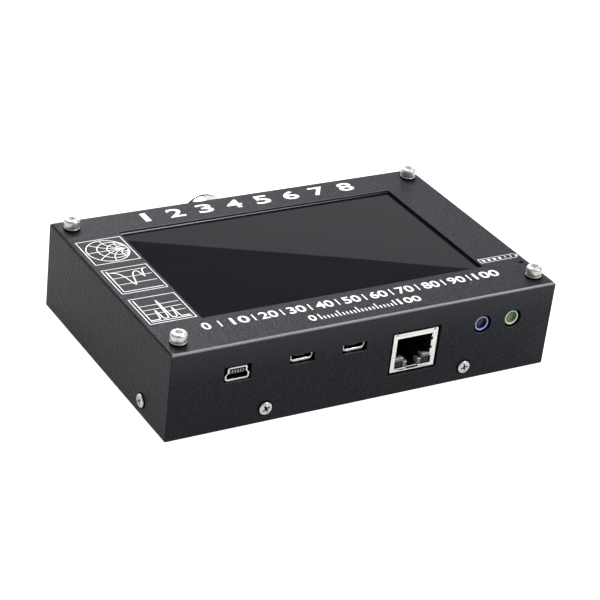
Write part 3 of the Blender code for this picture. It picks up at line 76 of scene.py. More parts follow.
def pickEdges(piece, test):
    # test gets an edge's two ends in millimetres
    bpy.ops.mesh.select_all(action="DESELECT")
    mesh = bmesh.from_edit_mesh(piece.data)
    for edge in mesh.edges:
        if test(edge.verts[0].co / mm, edge.verts[1].co / mm):
            edge.select_set(True)
    bmesh.update_edit_mesh(piece.data)


def block(name, low, high):
    # corners in millimetres
    bpy.ops.object.select_all(action="DESELECT")
    middle = [(a + b) / 2 * mm for a, b in zip(low, high)]
    size = [(b - a) * mm for a, b in zip(low, high)]
    bpy.ops.mesh.primitive_cube_add(size=1, location=middle, scale=size)
    piece = bpy.context.active_object
    piece.name = name
    bpy.ops.object.transform_apply(location=True, rotation=True, scale=True)
    return piece


axisTurns = {
    "+Z": (0, 0, 0),
    "+Y": (-math.pi / 2, 0, 0),
    "-Y": (math.pi / 2, 0, 0),
    "+X": (0, math.pi / 2, 0),
    "-X": (0, -math.pi / 2, 0),
}


def place(piece, spot, axis="+Z"):
    # stands the piece's own Z along an axis, at a spot in millimetres
    useOnly(piece)
    piece.location = Vector(spot) * mm
    piece.rotation_euler = axisTurns[axis]
    bpy.ops.object.transform_apply(location=True, rotation=True, scale=True)
    return piece


def turned(name, steps, sides=64):
    # a turned piece along Z, from rings of (radius, height) in millimetres
    bpy.ops.object.select_all(action="DESELECT")
    radius, height = steps[0]
    bpy.ops.mesh.primitive_circle_add(
        vertices=sides, radius=radius * mm, fill_type="NGON", location=(0, 0, height * mm)
    )
    piece = bpy.context.active_object
    piece.name = name
    bpy.ops.object.transform_apply(location=True, rotation=True, scale=True)
    bpy.ops.object.mode_set(mode="EDIT")
    bpy.ops.mesh.select_all(action="SELECT")
    for (oldRadius, oldHeight), (radius, height) in zip(steps, steps[1:]):
        bpy.ops.mesh.extrude_region_move(TRANSFORM_OT_translate={"value": (0, 0, (height - oldHeight) * mm)})
        share = radius / oldRadius
        bpy.ops.transform.resize(value=(share, share, 1), center_override=(0, 0, height * mm))
    bpy.ops.mesh.select_all(action="SELECT")
    bpy.ops.mesh.remove_doubles(threshold=0.0000005)
    bpy.ops.mesh.normals_make_consistent(inside=False)
    endEdit()
    return piece


def cut(piece, *cutters):
    # takes the cutters out of the piece, one after the other
    for cutter in cutters:
        useOnly(piece)
        tool = piece.modifiers.new("cut", "BOOLEAN")
        tool.operation = "DIFFERENCE"
        tool.solver = "EXACT"
        tool.object = cutter
        bpy.ops.object.modifier_apply(modifier=tool.name)
        bpy.data.objects.remove(cutter)
    return piece


def unite(piece, *others):
    useOnly(piece)
    for other in others:
        other.select_set(True)
    bpy.context.view_layer.objects.active = piece
    bpy.ops.object.join()
    return piece


def easeEdges(piece, width, steps=2, angle=50):
    useOnly(piece)
    tool = piece.modifiers.new("ease", "BEVEL")
    tool.width = width * mm
    tool.segments = steps
    tool.limit_method = "ANGLE"
    tool.angle_limit = math.radians(angle)
    bpy.ops.object.modifier_apply(modifier=tool.name)
    return piece


def smooth(piece, angle=35, weighted=False):
    useOnly(piece)
    bpy.ops.object.shade_smooth_by_angle(angle=math.radians(angle))
    if weighted:
        tool = piece.modifiers.new("weighted", "WEIGHTED_NORMAL")
        tool.keep_sharp = True
        bpy.ops.object.modifier_apply(modifier=tool.name)
    return piece


def copyOf(piece, name):
    copy = piece.copy()
    copy.data = piece.data.copy()
    copy.name = name
    bpy.context.scene.collection.objects.link(copy)
    return copy


def roundEdges(piece, test, width, steps):
    startEdit(piece, "EDGE")
    pickEdges(piece, test)
    bpy.ops.mesh.bevel(offset=width * mm, segments=steps, affect="EDGES", clamp_overlap=False)
    endEdit()


def dress(piece, finish, body, stands):
    # finish, body and the CAD nodes that the piece stands for
    piece.data.materials.clear()
    piece.data.materials.append(finish)
    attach(piece, body)
    if stands:
        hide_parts(*stands)
    return piece


# finishes
def addNode(tree, kind, **values):
    node = tree.nodes.new(kind)
    for name, value in values.items():
        setattr(node, name, value)
    return node


def startFinish(name, look):
    # the shader with what is the same all over, and the object's own coordinates
    material = bpy.data.materials.new(name)
    material.use_nodes = True
    tree = material.node_tree
    shader = tree.nodes["Principled BSDF"]
    shader.inputs["Metallic"].default_value = look.get("metallic", 0)
    shader.inputs["IOR"].default_value = look.get("ior", 1.5)
    shader.inputs["Coat Weight"].default_value = look.get("coat", 0)
    shader.inputs["Coat Roughness"].default_value = look.get("coatRoughness", 0.1)
    shader.inputs["Specular IOR Level"].default_value = look.get("specular", 0.5)
    shader.inputs["Transmission Weight"].default_value = look.get("clear", 0)
    coords = addNode(tree, "ShaderNodeTexCoord")
    mapping = addNode(tree, "ShaderNodeMapping")
    mapping.inputs["Scale"].default_value = look.get("stretch", (1, 1, 1))
    mapping.inputs["Location"].default_value = look.get("shift", (0, 0, 0))
    feed(tree, coords.outputs["Object"], mapping, "Vector")
    return material, tree, shader, mapping


def feed(tree, output, node, slot):
    tree.links.new(output, node.inputs[slot])


def feedGloss(tree, value, shader, low, high):
    # roughness from low to high where the value goes from 0.3 to 0.7
    feed(tree, rangeOf(tree, value, 0.3, 0.7, low, high), shader, "Roughness")


def noiseOf(tree, mapping, grain, detail=3, rough=0.6):
    # grain is the size of the pattern's spots, in millimetres
    noise = addNode(tree, "ShaderNodeTexNoise")
    noise.inputs["Scale"].default_value = 1 / (grain * mm)
    noise.inputs["Detail"].default_value = detail
    noise.inputs["Roughness"].default_value = rough
    feed(tree, mapping.outputs["Vector"], noise, "Vector")
    return noise.outputs["Fac"]


def rampOf(tree, value, low, high, dark, light):
    ramp = addNode(tree, "ShaderNodeValToRGB")
    ramp.color_ramp.elements[0].position = low
    ramp.color_ramp.elements[1].position = high
    ramp.color_ramp.elements[0].color = (*dark, 1)
    ramp.color_ramp.elements[1].color = (*light, 1)
    feed(tree, value, ramp, "Fac")
    return ramp.outputs["Color"]


def rangeOf(tree, value, fromLow, fromHigh, low, high):
    spread = addNode(tree, "ShaderNodeMapRange")
    for slot, number in zip(("From Min", "From Max", "To Min", "To Max"), (fromLow, fromHigh, low, high)):
        spread.inputs[slot].default_value = number
    feed(tree, value, spread, "Value")
    return spread.outputs["Result"]


def bumpOf(tree, shader, height, strength, depth):
    # depth is the relief's height in millimetres
    bump = addNode(tree, "ShaderNodeBump")
    bump.inputs["Strength"].default_value = strength
    bump.inputs["Distance"].default_value = depth * mm
    feed(tree, height, bump, "Height")
    feed(tree, bump.outputs["Normal"], shader, "Normal")
    return bump


def mixOf(tree, share, first, second):
    # share 0 shows the first colour, 1 the second
    mix = addNode(tree, "ShaderNodeMix", data_type="RGBA")
    feed(tree, share, mix, "Factor")
    for colour, slot in ((first, "A"), (second, "B")):
        socket = [s for s in mix.inputs if s.name == slot and s.type == "RGBA"][0]
        if isinstance(colour, tuple):
            socket.default_value = (*colour, 1)
        else:
            tree.links.new(colour, socket)
    return [s for s in mix.outputs if s.type == "RGBA"][0]


def grainFinish(name, look):
    # spots between two colours, uneven gloss and a fine relief
    material, tree, shader, mapping = startFinish(name, look)
    spots = noiseOf(tree, mapping, look["spots"])
    colour = rampOf(tree, spots, 0.32, 0.68, look["dark"], look["light"])
    feed(tree, colour, shader, "Base Color")
    dull, gloss = look["roughness"]
    feedGloss(tree, spots, shader, gloss, dull)
    relief = noiseOf(tree, mapping, look["relief"], detail=2)
    bumpOf(tree, shader, relief, look.get("bump", 0.5), look["depth"])
    return material


casePaint = {
    "dark": (0.0068, 0.0072, 0.0098),
    "light": (0.0240, 0.0252, 0.0330),
    "spots": 0.75,
    "roughness": (0.44, 0.32),
    "specular": 0.13,
    "fineGrain": 0.65,
    "coarseGrain": 1.2,
    "depth": 0.30,
    "foldHighlight": (0.27, 0.28, 0.30),
    "foldHighlightShine": 0.55,
    # how far up and to the front a face looks where the painted highlight on the front fold starts and is
    # full, as a product
    "foldHighlightRange": (-0.15, -0.48),
    # painted highlight: front wall is paler towards its fold, between these heights
    "foldSheenColour": (0.036, 0.037, 0.043),
    "foldSheen": (18.0, 29.0),
}


def makePaint(look):
    # sand-textured black paint: fine grains over coarser lumps
    material, tree, shader, mapping = startFinish("sandPaint", look)
    spots = noiseOf(tree, mapping, look["spots"], detail=4, rough=0.7)
    colour = rampOf(tree, spots, 0.30, 0.72, look["dark"], look["light"])
    # painted highlight: pale colour and more shine on edges that face half up and half to the front, along
    # the front fold
    facing = addNode(tree, "ShaderNodeNewGeometry")
    split = addNode(tree, "ShaderNodeSeparateXYZ")
    feed(tree, facing.outputs["Normal"], split, "Vector")
    lean = addNode(tree, "ShaderNodeMath", operation="MULTIPLY")
    feed(tree, split.outputs["Y"], lean, 0)
    feed(tree, split.outputs["Z"], lean, 1)
    foldLit = rangeOf(tree, lean.outputs[0], *look["foldHighlightRange"], 0, 1)
    # painted highlight: faces turned to the front grow paler towards the fold, between the given heights
    heights = addNode(tree, "ShaderNodeSeparateXYZ")
    feed(tree, mapping.outputs["Vector"], heights, "Vector")
    foldSheen = addNode(tree, "ShaderNodeMath", operation="MULTIPLY")
    sheenFrom, sheenTo = look["foldSheen"]
    feed(tree, rangeOf(tree, heights.outputs["Z"], sheenFrom * mm, sheenTo * mm, 0, 1), foldSheen, 0)
    feed(tree, rangeOf(tree, split.outputs["Y"], -0.7, -0.95, 0, 1), foldSheen, 1)
    foldSheenColour = mixOf(tree, foldSheen.outputs[0], colour, look["foldSheenColour"])
    feed(tree, mixOf(tree, foldLit, foldSheenColour, look["foldHighlight"]), shader, "Base Color")
    shine = rangeOf(tree, foldLit, 0, 1, look["specular"], look["foldHighlightShine"])
    feed(tree, shine, shader, "Specular IOR Level")
    dull, gloss = look["roughness"]
    feedGloss(tree, spots, shader, dull, gloss)
    fine = noiseOf(tree, mapping, look["fineGrain"], detail=2)
    coarse = noiseOf(tree, mapping, look["coarseGrain"], detail=2)
    both = addNode(tree, "ShaderNodeMath", operation="ADD")
    feed(tree, fine, both, 0)
    feed(tree, coarse, both, 1)
    bumpOf(tree, shader, both.outputs[0], 0.6, look["depth"])
    return material


finishes = {
    "steel": {"metallic": 0.72, "dark": (0.72, 0.71, 0.69), "light": (0.88, 0.87, 0.85), "spots": 0.9,
              "roughness": (0.40, 0.28), "relief": 0.12, "depth": 0.004},
    "plate": {"metallic": 1, "dark": (0.80, 0.78, 0.75), "light": (0.97, 0.955, 0.93), "spots": 0.5,
              "roughness": (0.42, 0.28), "relief": 0.16, "depth": 0.010, "stretch": (0.12, 1, 1)},
    "nickel": {"metallic": 1, "dark": (0.80, 0.79, 0.77), "light": (0.92, 0.91, 0.89), "spots": 2.5,
               "roughness": (0.24, 0.15), "relief": 0.2, "depth": 0.003},
    "barrel": {"metallic": 1, "dark": (0.78, 0.775, 0.76), "light": (0.87, 0.86, 0.84), "spots": 1.5,
               "roughness": (0.23, 0.18), "relief": 0.2, "depth": 0.001},
    "smoked": {"dark": (0.008, 0.008, 0.009), "light": (0.022, 0.022, 0.024), "spots": 0.7,
               "roughness": (0.34, 0.22), "relief": 0.2, "depth": 0.006, "specular": 0.25},
    "greyStep": {"dark": (0.13, 0.13, 0.135), "light": (0.24, 0.24, 0.245), "spots": 0.5,
                 "roughness": (0.40, 0.28), "relief": 0.2, "depth": 0.008},
    # near black for the painted shadow rings round screws and the painted shade in the coaxial jack's groove
    "shadowBlack": {"dark": (0.0008, 0.0008, 0.0008), "light": (0.0020, 0.0020, 0.0020), "spots": 0.6,
               "roughness": (0.75, 0.60), "relief": 0.3, "depth": 0.01, "specular": 0.03},
    "seal": {"dark": (0.68, 0.68, 0.69), "light": (0.82, 0.82, 0.83), "spots": 0.8,
             "roughness": (0.60, 0.45), "relief": 0.3, "depth": 0.01},
    "tooth": {"metallic": 1, "dark": (0.22, 0.22, 0.215), "light": (0.36, 0.36, 0.35), "spots": 0.5,
              "roughness": (0.46, 0.34), "relief": 0.2, "depth": 0.004},
    "gold": {"metallic": 1, "dark": (0.66, 0.44, 0.17), "light": (0.82, 0.58, 0.26), "spots": 0.6,
             "roughness": (0.28, 0.16), "relief": 0.1, "depth": 0.002},
    "brass": {"metallic": 1, "dark": (0.50, 0.36, 0.14), "light": (0.68, 0.50, 0.22), "spots": 1.5,
              "roughness": (0.36, 0.22), "relief": 0.15, "depth": 0.004, "stretch": (1, 1, 0.15)},
    "cap": {"metallic": 1, "dark": (0.42, 0.42, 0.41), "light": (0.60, 0.60, 0.59), "spots": 0.9,
            "roughness": (0.40, 0.26), "relief": 0.2, "depth": 0.004},
    "blackPlastic": {"dark": (0.010, 0.010, 0.011), "light": (0.020, 0.020, 0.022), "spots": 0.8,
                     "roughness": (0.52, 0.38), "relief": 0.25, "depth": 0.012},
    "socketPlastic": {"dark": (0.0022, 0.0020, 0.0019), "light": (0.0050, 0.0046, 0.0043), "spots": 0.6,
                      "roughness": (0.50, 0.36), "relief": 0.25, "depth": 0.010, "specular": 0.35},
    "buttonPlastic": {"dark": (0.02, 0.05, 0.22), "light": (0.04, 0.09, 0.32), "spots": 1.0,
                      "roughness": (0.50, 0.34), "relief": 0.3, "depth": 0.01},
    "insulator": {"dark": (0.72, 0.72, 0.69), "light": (0.84, 0.84, 0.81), "spots": 1.4,
                  "roughness": (0.48, 0.34), "relief": 0.35, "depth": 0.008},
    "whitePlastic": {"dark": (0.66, 0.65, 0.60), "light": (0.78, 0.77, 0.72), "spots": 1.2,
                     "roughness": (0.50, 0.36), "relief": 0.3, "depth": 0.01},
    "foil": {"metallic": 0.9, "dark": (0.42, 0.43, 0.44), "light": (0.60, 0.61, 0.62), "spots": 5.0,
             "roughness": (0.46, 0.28), "relief": 2.2, "depth": 0.06},
    "redLead": {"dark": (0.38, 0.02, 0.015), "light": (0.52, 0.035, 0.025), "spots": 1.0,
                "roughness": (0.48, 0.34), "relief": 0.3, "depth": 0.01},
    "blackLead": {"dark": (0.012, 0.012, 0.012), "light": (0.025, 0.025, 0.025), "spots": 1.0,
                  "roughness": (0.50, 0.36), "relief": 0.3, "depth": 0.01},
    "panelBack": {"dark": (0.26, 0.265, 0.27), "light": (0.34, 0.35, 0.355), "spots": 6.0,
                  "roughness": (0.54, 0.44), "relief": 0.6, "depth": 0.01},
    "lamp": {"dark": (0.52, 0.04, 0.03), "light": (0.64, 0.06, 0.045), "spots": 0.8, "clear": 0.4,
             "roughness": (0.24, 0.14), "relief": 0.5, "depth": 0.01},
    "printInk": {"dark": (0.88, 0.88, 0.89), "light": (0.97, 0.97, 0.98), "spots": 0.35,
                 "roughness": (0.62, 0.50), "relief": 0.3, "depth": 0.008},
}
jackPlastics = {
    # colour of the bore's wall, darkened as painted shade, and of the rounded mouth, paled as a painted
    # highlight, and where along Y one turns into the other
    "in": {"bore": (0.005, 0.006, 0.055), "lip": (0.48, 0.54, 0.98), "mottle": 1.25},
    "out": {"bore": (0.13, 0.23, 0.085), "lip": (0.88, 0.98, 0.76), "mottle": 1.25},
    "mouth": (-42.62, -42.25),
}


def alongY(tree, mapping, start, end):
    # 0 to 1 between two places along Y
    split = addNode(tree, "ShaderNodeSeparateXYZ")
    feed(tree, mapping.outputs["Vector"], split, "Vector")
    return rangeOf(tree, split.outputs["Y"], start * mm, end * mm, 0, 1)


def makeLitShadedJackPlastic(name, look, mouth):
    # moulded plastic; a painted highlight makes it pale round the mouth and painted shade makes the bore dark
    material, tree, shader, mapping = startFinish(name, {})
    lighter = tuple(v * look["mottle"] for v in look["bore"])
    mottle = rampOf(tree, noiseOf(tree, mapping, 0.9), 0.3, 0.7, look["bore"], lighter)
    feed(tree, mixOf(tree, alongY(tree, mapping, *mouth), look["lip"], mottle), shader, "Base Color")
    feedGloss(tree, noiseOf(tree, mapping, 0.6), shader, 0.28, 0.42)
    bumpOf(tree, shader, noiseOf(tree, mapping, 0.3), 0.4, 0.006)
    return material


# shells of the data sockets
shellMetal = {
    "lip": (0.90, 0.885, 0.86),
    # inside: painted shade, dark deeper in the socket
    "inside": (0.035, 0.034, 0.033),
    "mottle": 0.82,
    # where the lip's colour starts and stops fading into the painted shade inside, past its own depth in
    # millimetres
    "fade": (-0.1, 0.15),
}


def makeShellMetalWithShade(name, look, lipEnd):
    # plated steel, bright on the lip, with painted shade darkening it behind the lip
    material, tree, shader, mapping = startFinish(name, {"metallic": 1})
    depth = alongY(tree, mapping, *(lipEnd + shift for shift in look["fade"]))
    darker = tuple(v * look["mottle"] for v in look["lip"])
    mottle = rampOf(tree, noiseOf(tree, mapping, 0.5), 0.3, 0.7, darker, look["lip"])
    feed(tree, mixOf(tree, depth, mottle, look["inside"]), shader, "Base Color")
    feedGloss(tree, noiseOf(tree, mapping, 0.4), shader, 0.26, 0.42)
    bumpOf(tree, shader, noiseOf(tree, mapping, 0.16), 0.5, 0.008)
    return material


paint = makePaint(casePaint)
made = {name: grainFinish(name + "Finish", look) for name, look in finishes.items()}


displayGlass = {
    "base": (0.0056, 0.0066, 0.0092),
    "smear": (0.0068, 0.0078, 0.0104),
    "roughness": (0.0, 0.004),
    "specular": 0.12,
    "stretch": (0.5, 1, 1),
    "marks": 14,
}


def makeGlass(look):
    # dark glass with hardly seen wiping marks
    material, tree, shader, mapping = startFinish("darkGlass", look)
    marks = noiseOf(tree, mapping, look["marks"], detail=4)
    colour = rampOf(tree, marks, 0.35, 0.7, look["base"], look["smear"])
    feed(tree, colour, shader, "Base Color")
    clean, wiped = look["roughness"]
    feedGloss(tree, marks, shader, clean, wiped)
    return material


glass = makeGlass(displayGlass)


def makeBoard(name, look):
    # solder resist between two levels, black chips and pale contacts on either side of it
    material, tree, shader, mapping = startFinish(name, {})
    traces = addNode(tree, "ShaderNodeTexBrick")
    traces.inputs["Scale"].default_value = 1 / (look["pitch"] * mm)
    traces.inputs["Mortar Size"].default_value = 0.06
    traces.inputs["Color1"].default_value = (*look["resist"], 1)
    traces.inputs["Color2"].default_value = (*look["shade"], 1)
    traces.inputs["Mortar"].default_value = (*look["trace"], 1)
    feed(tree, mapping.outputs["Vector"], traces, "Vector")
    split = addNode(tree, "ShaderNodeSeparateXYZ")
    feed(tree, mapping.outputs["Vector"], split, "Vector")
    above = rangeOf(tree, split.outputs["Z"], look["top"] * mm, (look["top"] + 0.02) * mm, 0, 1)
    below = rangeOf(tree, split.outputs["Z"], look["low"] * mm, (look["low"] - 0.02) * mm, 0, 1)
    outside = addNode(tree, "ShaderNodeMath", operation="MAXIMUM")
    feed(tree, above, outside, 0)
    feed(tree, below, outside, 1)
    mottle = rampOf(tree, noiseOf(tree, mapping, 0.7), 0.3, 0.7, (0.010, 0.010, 0.011), (0.022, 0.022, 0.023))
    feed(tree, mixOf(tree, outside.outputs[0], traces.outputs["Color"], mottle), shader, "Base Color")
    feedGloss(tree, noiseOf(tree, mapping, 1.4), shader, 0.30, 0.46)
    bumpOf(tree, shader, traces.outputs["Fac"], 0.3, 0.03)
    return material


boards = {
    "main_board": {
        "resist": (0.010, 0.022, 0.060), "shade": (0.012, 0.026, 0.070), "trace": (0.03, 0.06, 0.14),
        "pitch": 3.1, "low": 21.49, "top": 23.11,
    },
    "rf_board": {
        "resist": (0.018, 0.018, 0.020), "shade": (0.022, 0.022, 0.025), "trace": (0.045, 0.045, 0.05),
        "pitch": 3.7, "low": 7.99, "top": 9.61,
    },
    "charger_board": {
        "resist": (0.012, 0.028, 0.085), "shade": (0.014, 0.032, 0.095), "trace": (0.04, 0.08, 0.2),
        "pitch": 2.1, "low": 9.8, "top": 12.61,
    },
}


def makeRibbon():
    # copper film with fine lines along the ribbon
    material, tree, shader, mapping = startFinish("ribbonFilm", {})
    lines = addNode(tree, "ShaderNodeTexWave", bands_direction="X")
    lines.inputs["Scale"].default_value = 320
    lines.inputs["Distortion"].default_value = 0
    feed(tree, mapping.outputs["Vector"], lines, "Vector")
    colour = rampOf(tree, lines.outputs["Fac"], 0.35, 0.65, (0.30, 0.13, 0.03), (0.42, 0.20, 0.06))
    feed(tree, colour, shader, "Base Color")
    feed(tree, rangeOf(tree, lines.outputs["Fac"], 0, 1, 0.28, 0.42), shader, "Roughness")
    return material


print("finishes made")


# top cover: one folded sheet, with its window and the openings for sockets and screws
coverValues = {
    "bend": 1.0,
    "bendSteps": 6,
    "corner": 0.3,
    "window": (-49.4, 50.6, -26.65, 30.85),
    "capHole": 1.8,
    "posts": {"front_left": (-62.6, -37.375), "front_right": (62.6, -37.375),
              "rear_left": (-62.6, 37.375), "rear_right": (62.6, 37.375)},
    "panHole": 1.55,
    "panLevel": 4.9,
    "panXs": (-34.7, 36.2),
    "panY": -26.9,
    "lampSpot": (64.45, -27.95),
    "lampHole": 0.82,
    "mini": (-45.3, 19.0, 4.5, 2.65),
    "micros": {"left": (-23.55, 19.7, 4.25, 1.58), "right": (-5.45, 19.7, 4.25, 1.58)},
    "ethernet": (16.6, 8.85, 6.95, 22.0),
    "jackXs": {"in": 41.16, "out": 52.53},
    "jackZ": 19.13,
    "jackHole": 3.15,
    "coax": (-2.0, 12.3, 8.2),
    "charge": (-20.0, 14.125, 4.15, 1.625),
    "switch": (10.0, 15.6, 6.5, 4.25),
    "edge": 0.14,
    # how far the cutters reach in from the outside, the length of the round ones and the sides round them
    "reach": 3,
    "cutLength": 4,
    "cutSides": 32,
}


def rod(name, spot, axis, radius, length, sides=64):
    # a plain round cutter from the spot along the axis
    return place(turned(name, [(radius, 0), (radius, length)], sides), spot, axis)


def makeCover(look):
    w = case
    cover = block("top_cover_shell", (w["left"], w["front"], w["low"]), (w["right"], w["rear"], w["top"]))
    roundEdges(cover, lambda a, b: min(a.z, b.z) > w["top"] - 0.01, look["bend"], look["bendSteps"])
    roundEdges(cover, lambda a, b: abs(a.z - b.z) > 20, look["corner"], 3)
    thin = w["sheet"]
    room = block("cutRoom", (w["left"] + thin, w["front"] + thin, w["low"] - 5),
                 (w["right"] - thin, w["rear"] - thin, w["top"] - thin))
    roundEdges(room, lambda a, b: min(a.z, b.z) > w["top"] - 1, look["bend"] - thin, 2)
    cut(cover, room)
    left, right, front, rear = look["window"]
    reach, length, sides = look["reach"], look["cutLength"], look["cutSides"]
    tools = [block("cutWindow", (left, front, w["top"] - reach), (right, rear, w["top"] + 1))]
    for x, y in look["posts"].values():
        tools.append(rod("cutPost", (x, y, w["top"] - reach), "+Z", look["capHole"], length, 48))
    tools.append(rod("cutLamp", (*look["lampSpot"], w["top"] - reach), "+Z", look["lampHole"], length, sides))
    level, radius = look["panLevel"], look["panHole"]
    for x in look["panXs"]:
        for wall, axis in ((w["front"] - 1, "+Y"), (w["rear"] + 1, "-Y")):
            tools.append(rod("cutPan", (x, wall, level), axis, radius, length, sides))
    for wall, axis in ((w["left"] - 1, "+X"), (w["right"] + 1, "-X")):
        tools.append(rod("cutPan", (wall, look["panY"], level), axis, radius, length, sides))
    for x, z, wide, tall in (look["mini"], *look["micros"].values()):
        low = (x - wide, w["front"] - 1, z - tall)
        tools.append(block("cutSocket", low, (x + wide, w["front"] + reach, z + tall)))
    x, wide, low, high = look["ethernet"]
    tools.append(block("cutEthernet", (x - wide, w["front"] - 1, low), (x + wide, w["front"] + reach, high)))
    for x in look["jackXs"].values():
        tools.append(rod("cutJack", (x, w["front"] - 1, look["jackZ"]), "+Y", look["jackHole"], length))
    x, z, radius = look["coax"]
    tools.append(rod("cutCoax", (x, w["rear"] + 1, z), "-Y", radius, length, 96))
    for y, z, wide, tall in (look["charge"], look["switch"]):
        low = (w["right"] - reach, y - wide, z - tall)
        tools.append(block("cutSide", low, (w["right"] + 1, y + wide, z + tall)))
    cut(cover, unite(*tools))
    easeEdges(cover, look["edge"])
    return smooth(cover, 30, weighted=True)


cover = dress(makeCover(coverValues), paint, "case", ["top_cover"])
print("cover folded and cut:", len(cover.data.polygons), "faces")


# socket cap screw with its washer, at the four corners of the top
capScrewValues = {
    # rings of (radius, height above the top): shank, washer, dark gap, head with rounded rim
    "rings": [(1.5, -8.0), (1.5, 0.38), (2.3, 0.38), (2.47, 0.44), (2.54, 0.54), (2.54, 0.72), (2.47, 0.83),
              (2.3, 0.88), (2.14, 0.9), (2.14, 1.0), (2.3, 1.03), (2.49, 1.12), (2.56, 1.28), (2.58, 1.6),
              (2.58, 2.72), (2.55, 2.95), (2.46, 3.17), (2.32, 3.36), (2.13, 3.51), (1.92, 3.61), (1.7, 3.65),
              (1.4, 3.65)],
    # black ring under the washer: a painted shadow on the paint round the screw's foot
    "footShadow": [(1.9, 0.02), (2.62, 0.02), (2.7, 0.07), (2.7, 0.26), (2.62, 0.33), (1.9, 0.33)],
    "socketFlats": 2.2,
    "socketDepth": 1.2,
    "turns": {"front_left": -0.05, "front_right": 0.35, "rear_left": 0.55, "rear_right": 0.2},
}


def makeCapScrew(look):
    screw = turned("capScrew", look["rings"], 72)
    top = look["rings"][-1][1]
    bpy.ops.mesh.primitive_cylinder_add(
        vertices=6, radius=look["socketFlats"] / math.sqrt(3) * mm, depth=look["socketDepth"] * 2 * mm,
        location=(0, 0, top * mm),
    )
    cut(screw, bpy.context.active_object)
    startEdit(screw, "EDGE")
    rim = look["socketFlats"] / 2 * 1.2
    pickEdges(screw, lambda a, b: min(a.z, b.z) > top - 0.01 and max(a.xy.length, b.xy.length) < rim)
    bpy.ops.mesh.bevel(offset=0.08 * mm, segments=2, affect="EDGES")
    endEdit()
    return smooth(screw, 32)


capScrew = makeCapScrew(capScrewValues)
for corner, (x, y) in coverValues["posts"].items():
    screw = copyOf(capScrew, "cap_screw_" + corner)
    screw.rotation_euler = (0, 0, capScrewValues["turns"][corner])
    useOnly(screw)
    bpy.ops.object.transform_apply(location=True, rotation=True, scale=True)
    place(screw, (x, y, case["top"]))
    dress(screw, made["steel"], "case", ["top_screw_" + corner])
    footShadow = smooth(turned("cap_foot_shadow_" + corner, capScrewValues["footShadow"], 72))
    place(footShadow, (x, y, case["top"]))
    dress(footShadow, made["shadowBlack"], "case", [])
bpy.data.objects.remove(capScrew)


# pan-head screw with a cross recess, low on the walls
panScrewValues = {
    # rings of (radius, height above the wall): shank, then the head
    "rings": [(1.25, -4.85), (1.25, 0.15), (2.0, 0.15), (2.09, 0.19), (2.12, 0.27), (2.12, 0.36),
              (2.08, 0.47), (1.98, 0.57), (1.75, 0.67), (1.37, 0.75), (0.95, 0.8), (0.57, 0.82)],
    # black ring behind the head: a painted shadow round it on the wall
    "washer": [(1.3, 0.02), (2.44, 0.02), (2.52, 0.05), (2.52, 0.1), (2.44, 0.14), (1.3, 0.14)],
    "crossLength": 3.0,
    "crossWidth": 0.74,
    "crossDepth": 1.1,
    "crossFoot": (0.6, 0.8, 1),     # share of the arm's length and width that is left at its foot
}


def makePanScrew(look):
    screw = turned("panScrew", look["rings"], 64)
    top = look["rings"][-1][1]
    for turn in (0, math.pi / 2):
        half = look["crossLength"] / 2
        thin = look["crossWidth"] / 2
        arm = block("cutCross", (-half, -thin, top - look["crossDepth"]), (half, thin, top + 0.5))
        startEdit(arm)
        pickFaces(arm, lambda middle, normal: normal.z < -0.5)
        bpy.ops.transform.resize(value=look["crossFoot"], center_override=(0, 0, 0))
        endEdit()
        arm.rotation_euler = (0, 0, turn)
        useOnly(arm)
        bpy.ops.object.transform_apply(location=True, rotation=True, scale=True)
        cut(screw, arm)
    return smooth(screw, 30)


panScrew = makePanScrew(panScrewValues)
wallSpots = {
    "front_left": (coverValues["panXs"][0], case["front"], "-Y", 0.5),
    "front_right": (coverValues["panXs"][1], case["front"], "-Y", 0.2),
    "rear_left": (coverValues["panXs"][0], case["rear"], "+Y", 0.8),
    "rear_right": (coverValues["panXs"][1], case["rear"], "+Y", 1.1),
    "left": (case["left"], coverValues["panY"], "-X", 0.7),
    "right": (case["right"], coverValues["panY"], "+X", 0.35),
}
for name, (across, along, axis, turn) in wallSpots.items():
    screw = copyOf(panScrew, "pan_screw_" + name)
    screw.rotation_euler = (0, 0, turn)
    useOnly(screw)
    bpy.ops.object.transform_apply(location=True, rotation=True, scale=True)
    place(screw, (across, along, coverValues["panLevel"]), axis)
    dress(screw, made["steel"], "case", ["side_screw_" + name])
    washer = smooth(turned("pan_washer_" + name, panScrewValues["washer"]))
    place(washer, (across, along, coverValues["panLevel"]), axis)
    dress(washer, made["shadowBlack"], "case", [])
bpy.data.objects.remove(panScrew)
print("screws made")


# touch glass under the window
glassValues = {"low": (-52.15, -31.5, 27.05), "high": (53.35, 35.7, 28.45), "corner": 1.2, "edge": 0.15}


def makeTouchGlass(look):
    pane = block("touch_glass_pane", look["low"], look["high"])
    roundEdges(pane, lambda a, b: abs(a.z - b.z) > 1, look["corner"], 6)
    easeEdges(pane, look["edge"])
    return smooth(pane, 30, weighted=True)


pane = dress(makeTouchGlass(glassValues), glass, "case", ["touch_glass"])


# pale seal between glass and sheet; it shows mostly at the window's rear edge
sealValues = {"low": 28.46, "top": 28.58, "lap": 1.2, "shown": (-0.3, -0.3, -0.3, 0.36), "taper": 0.5}


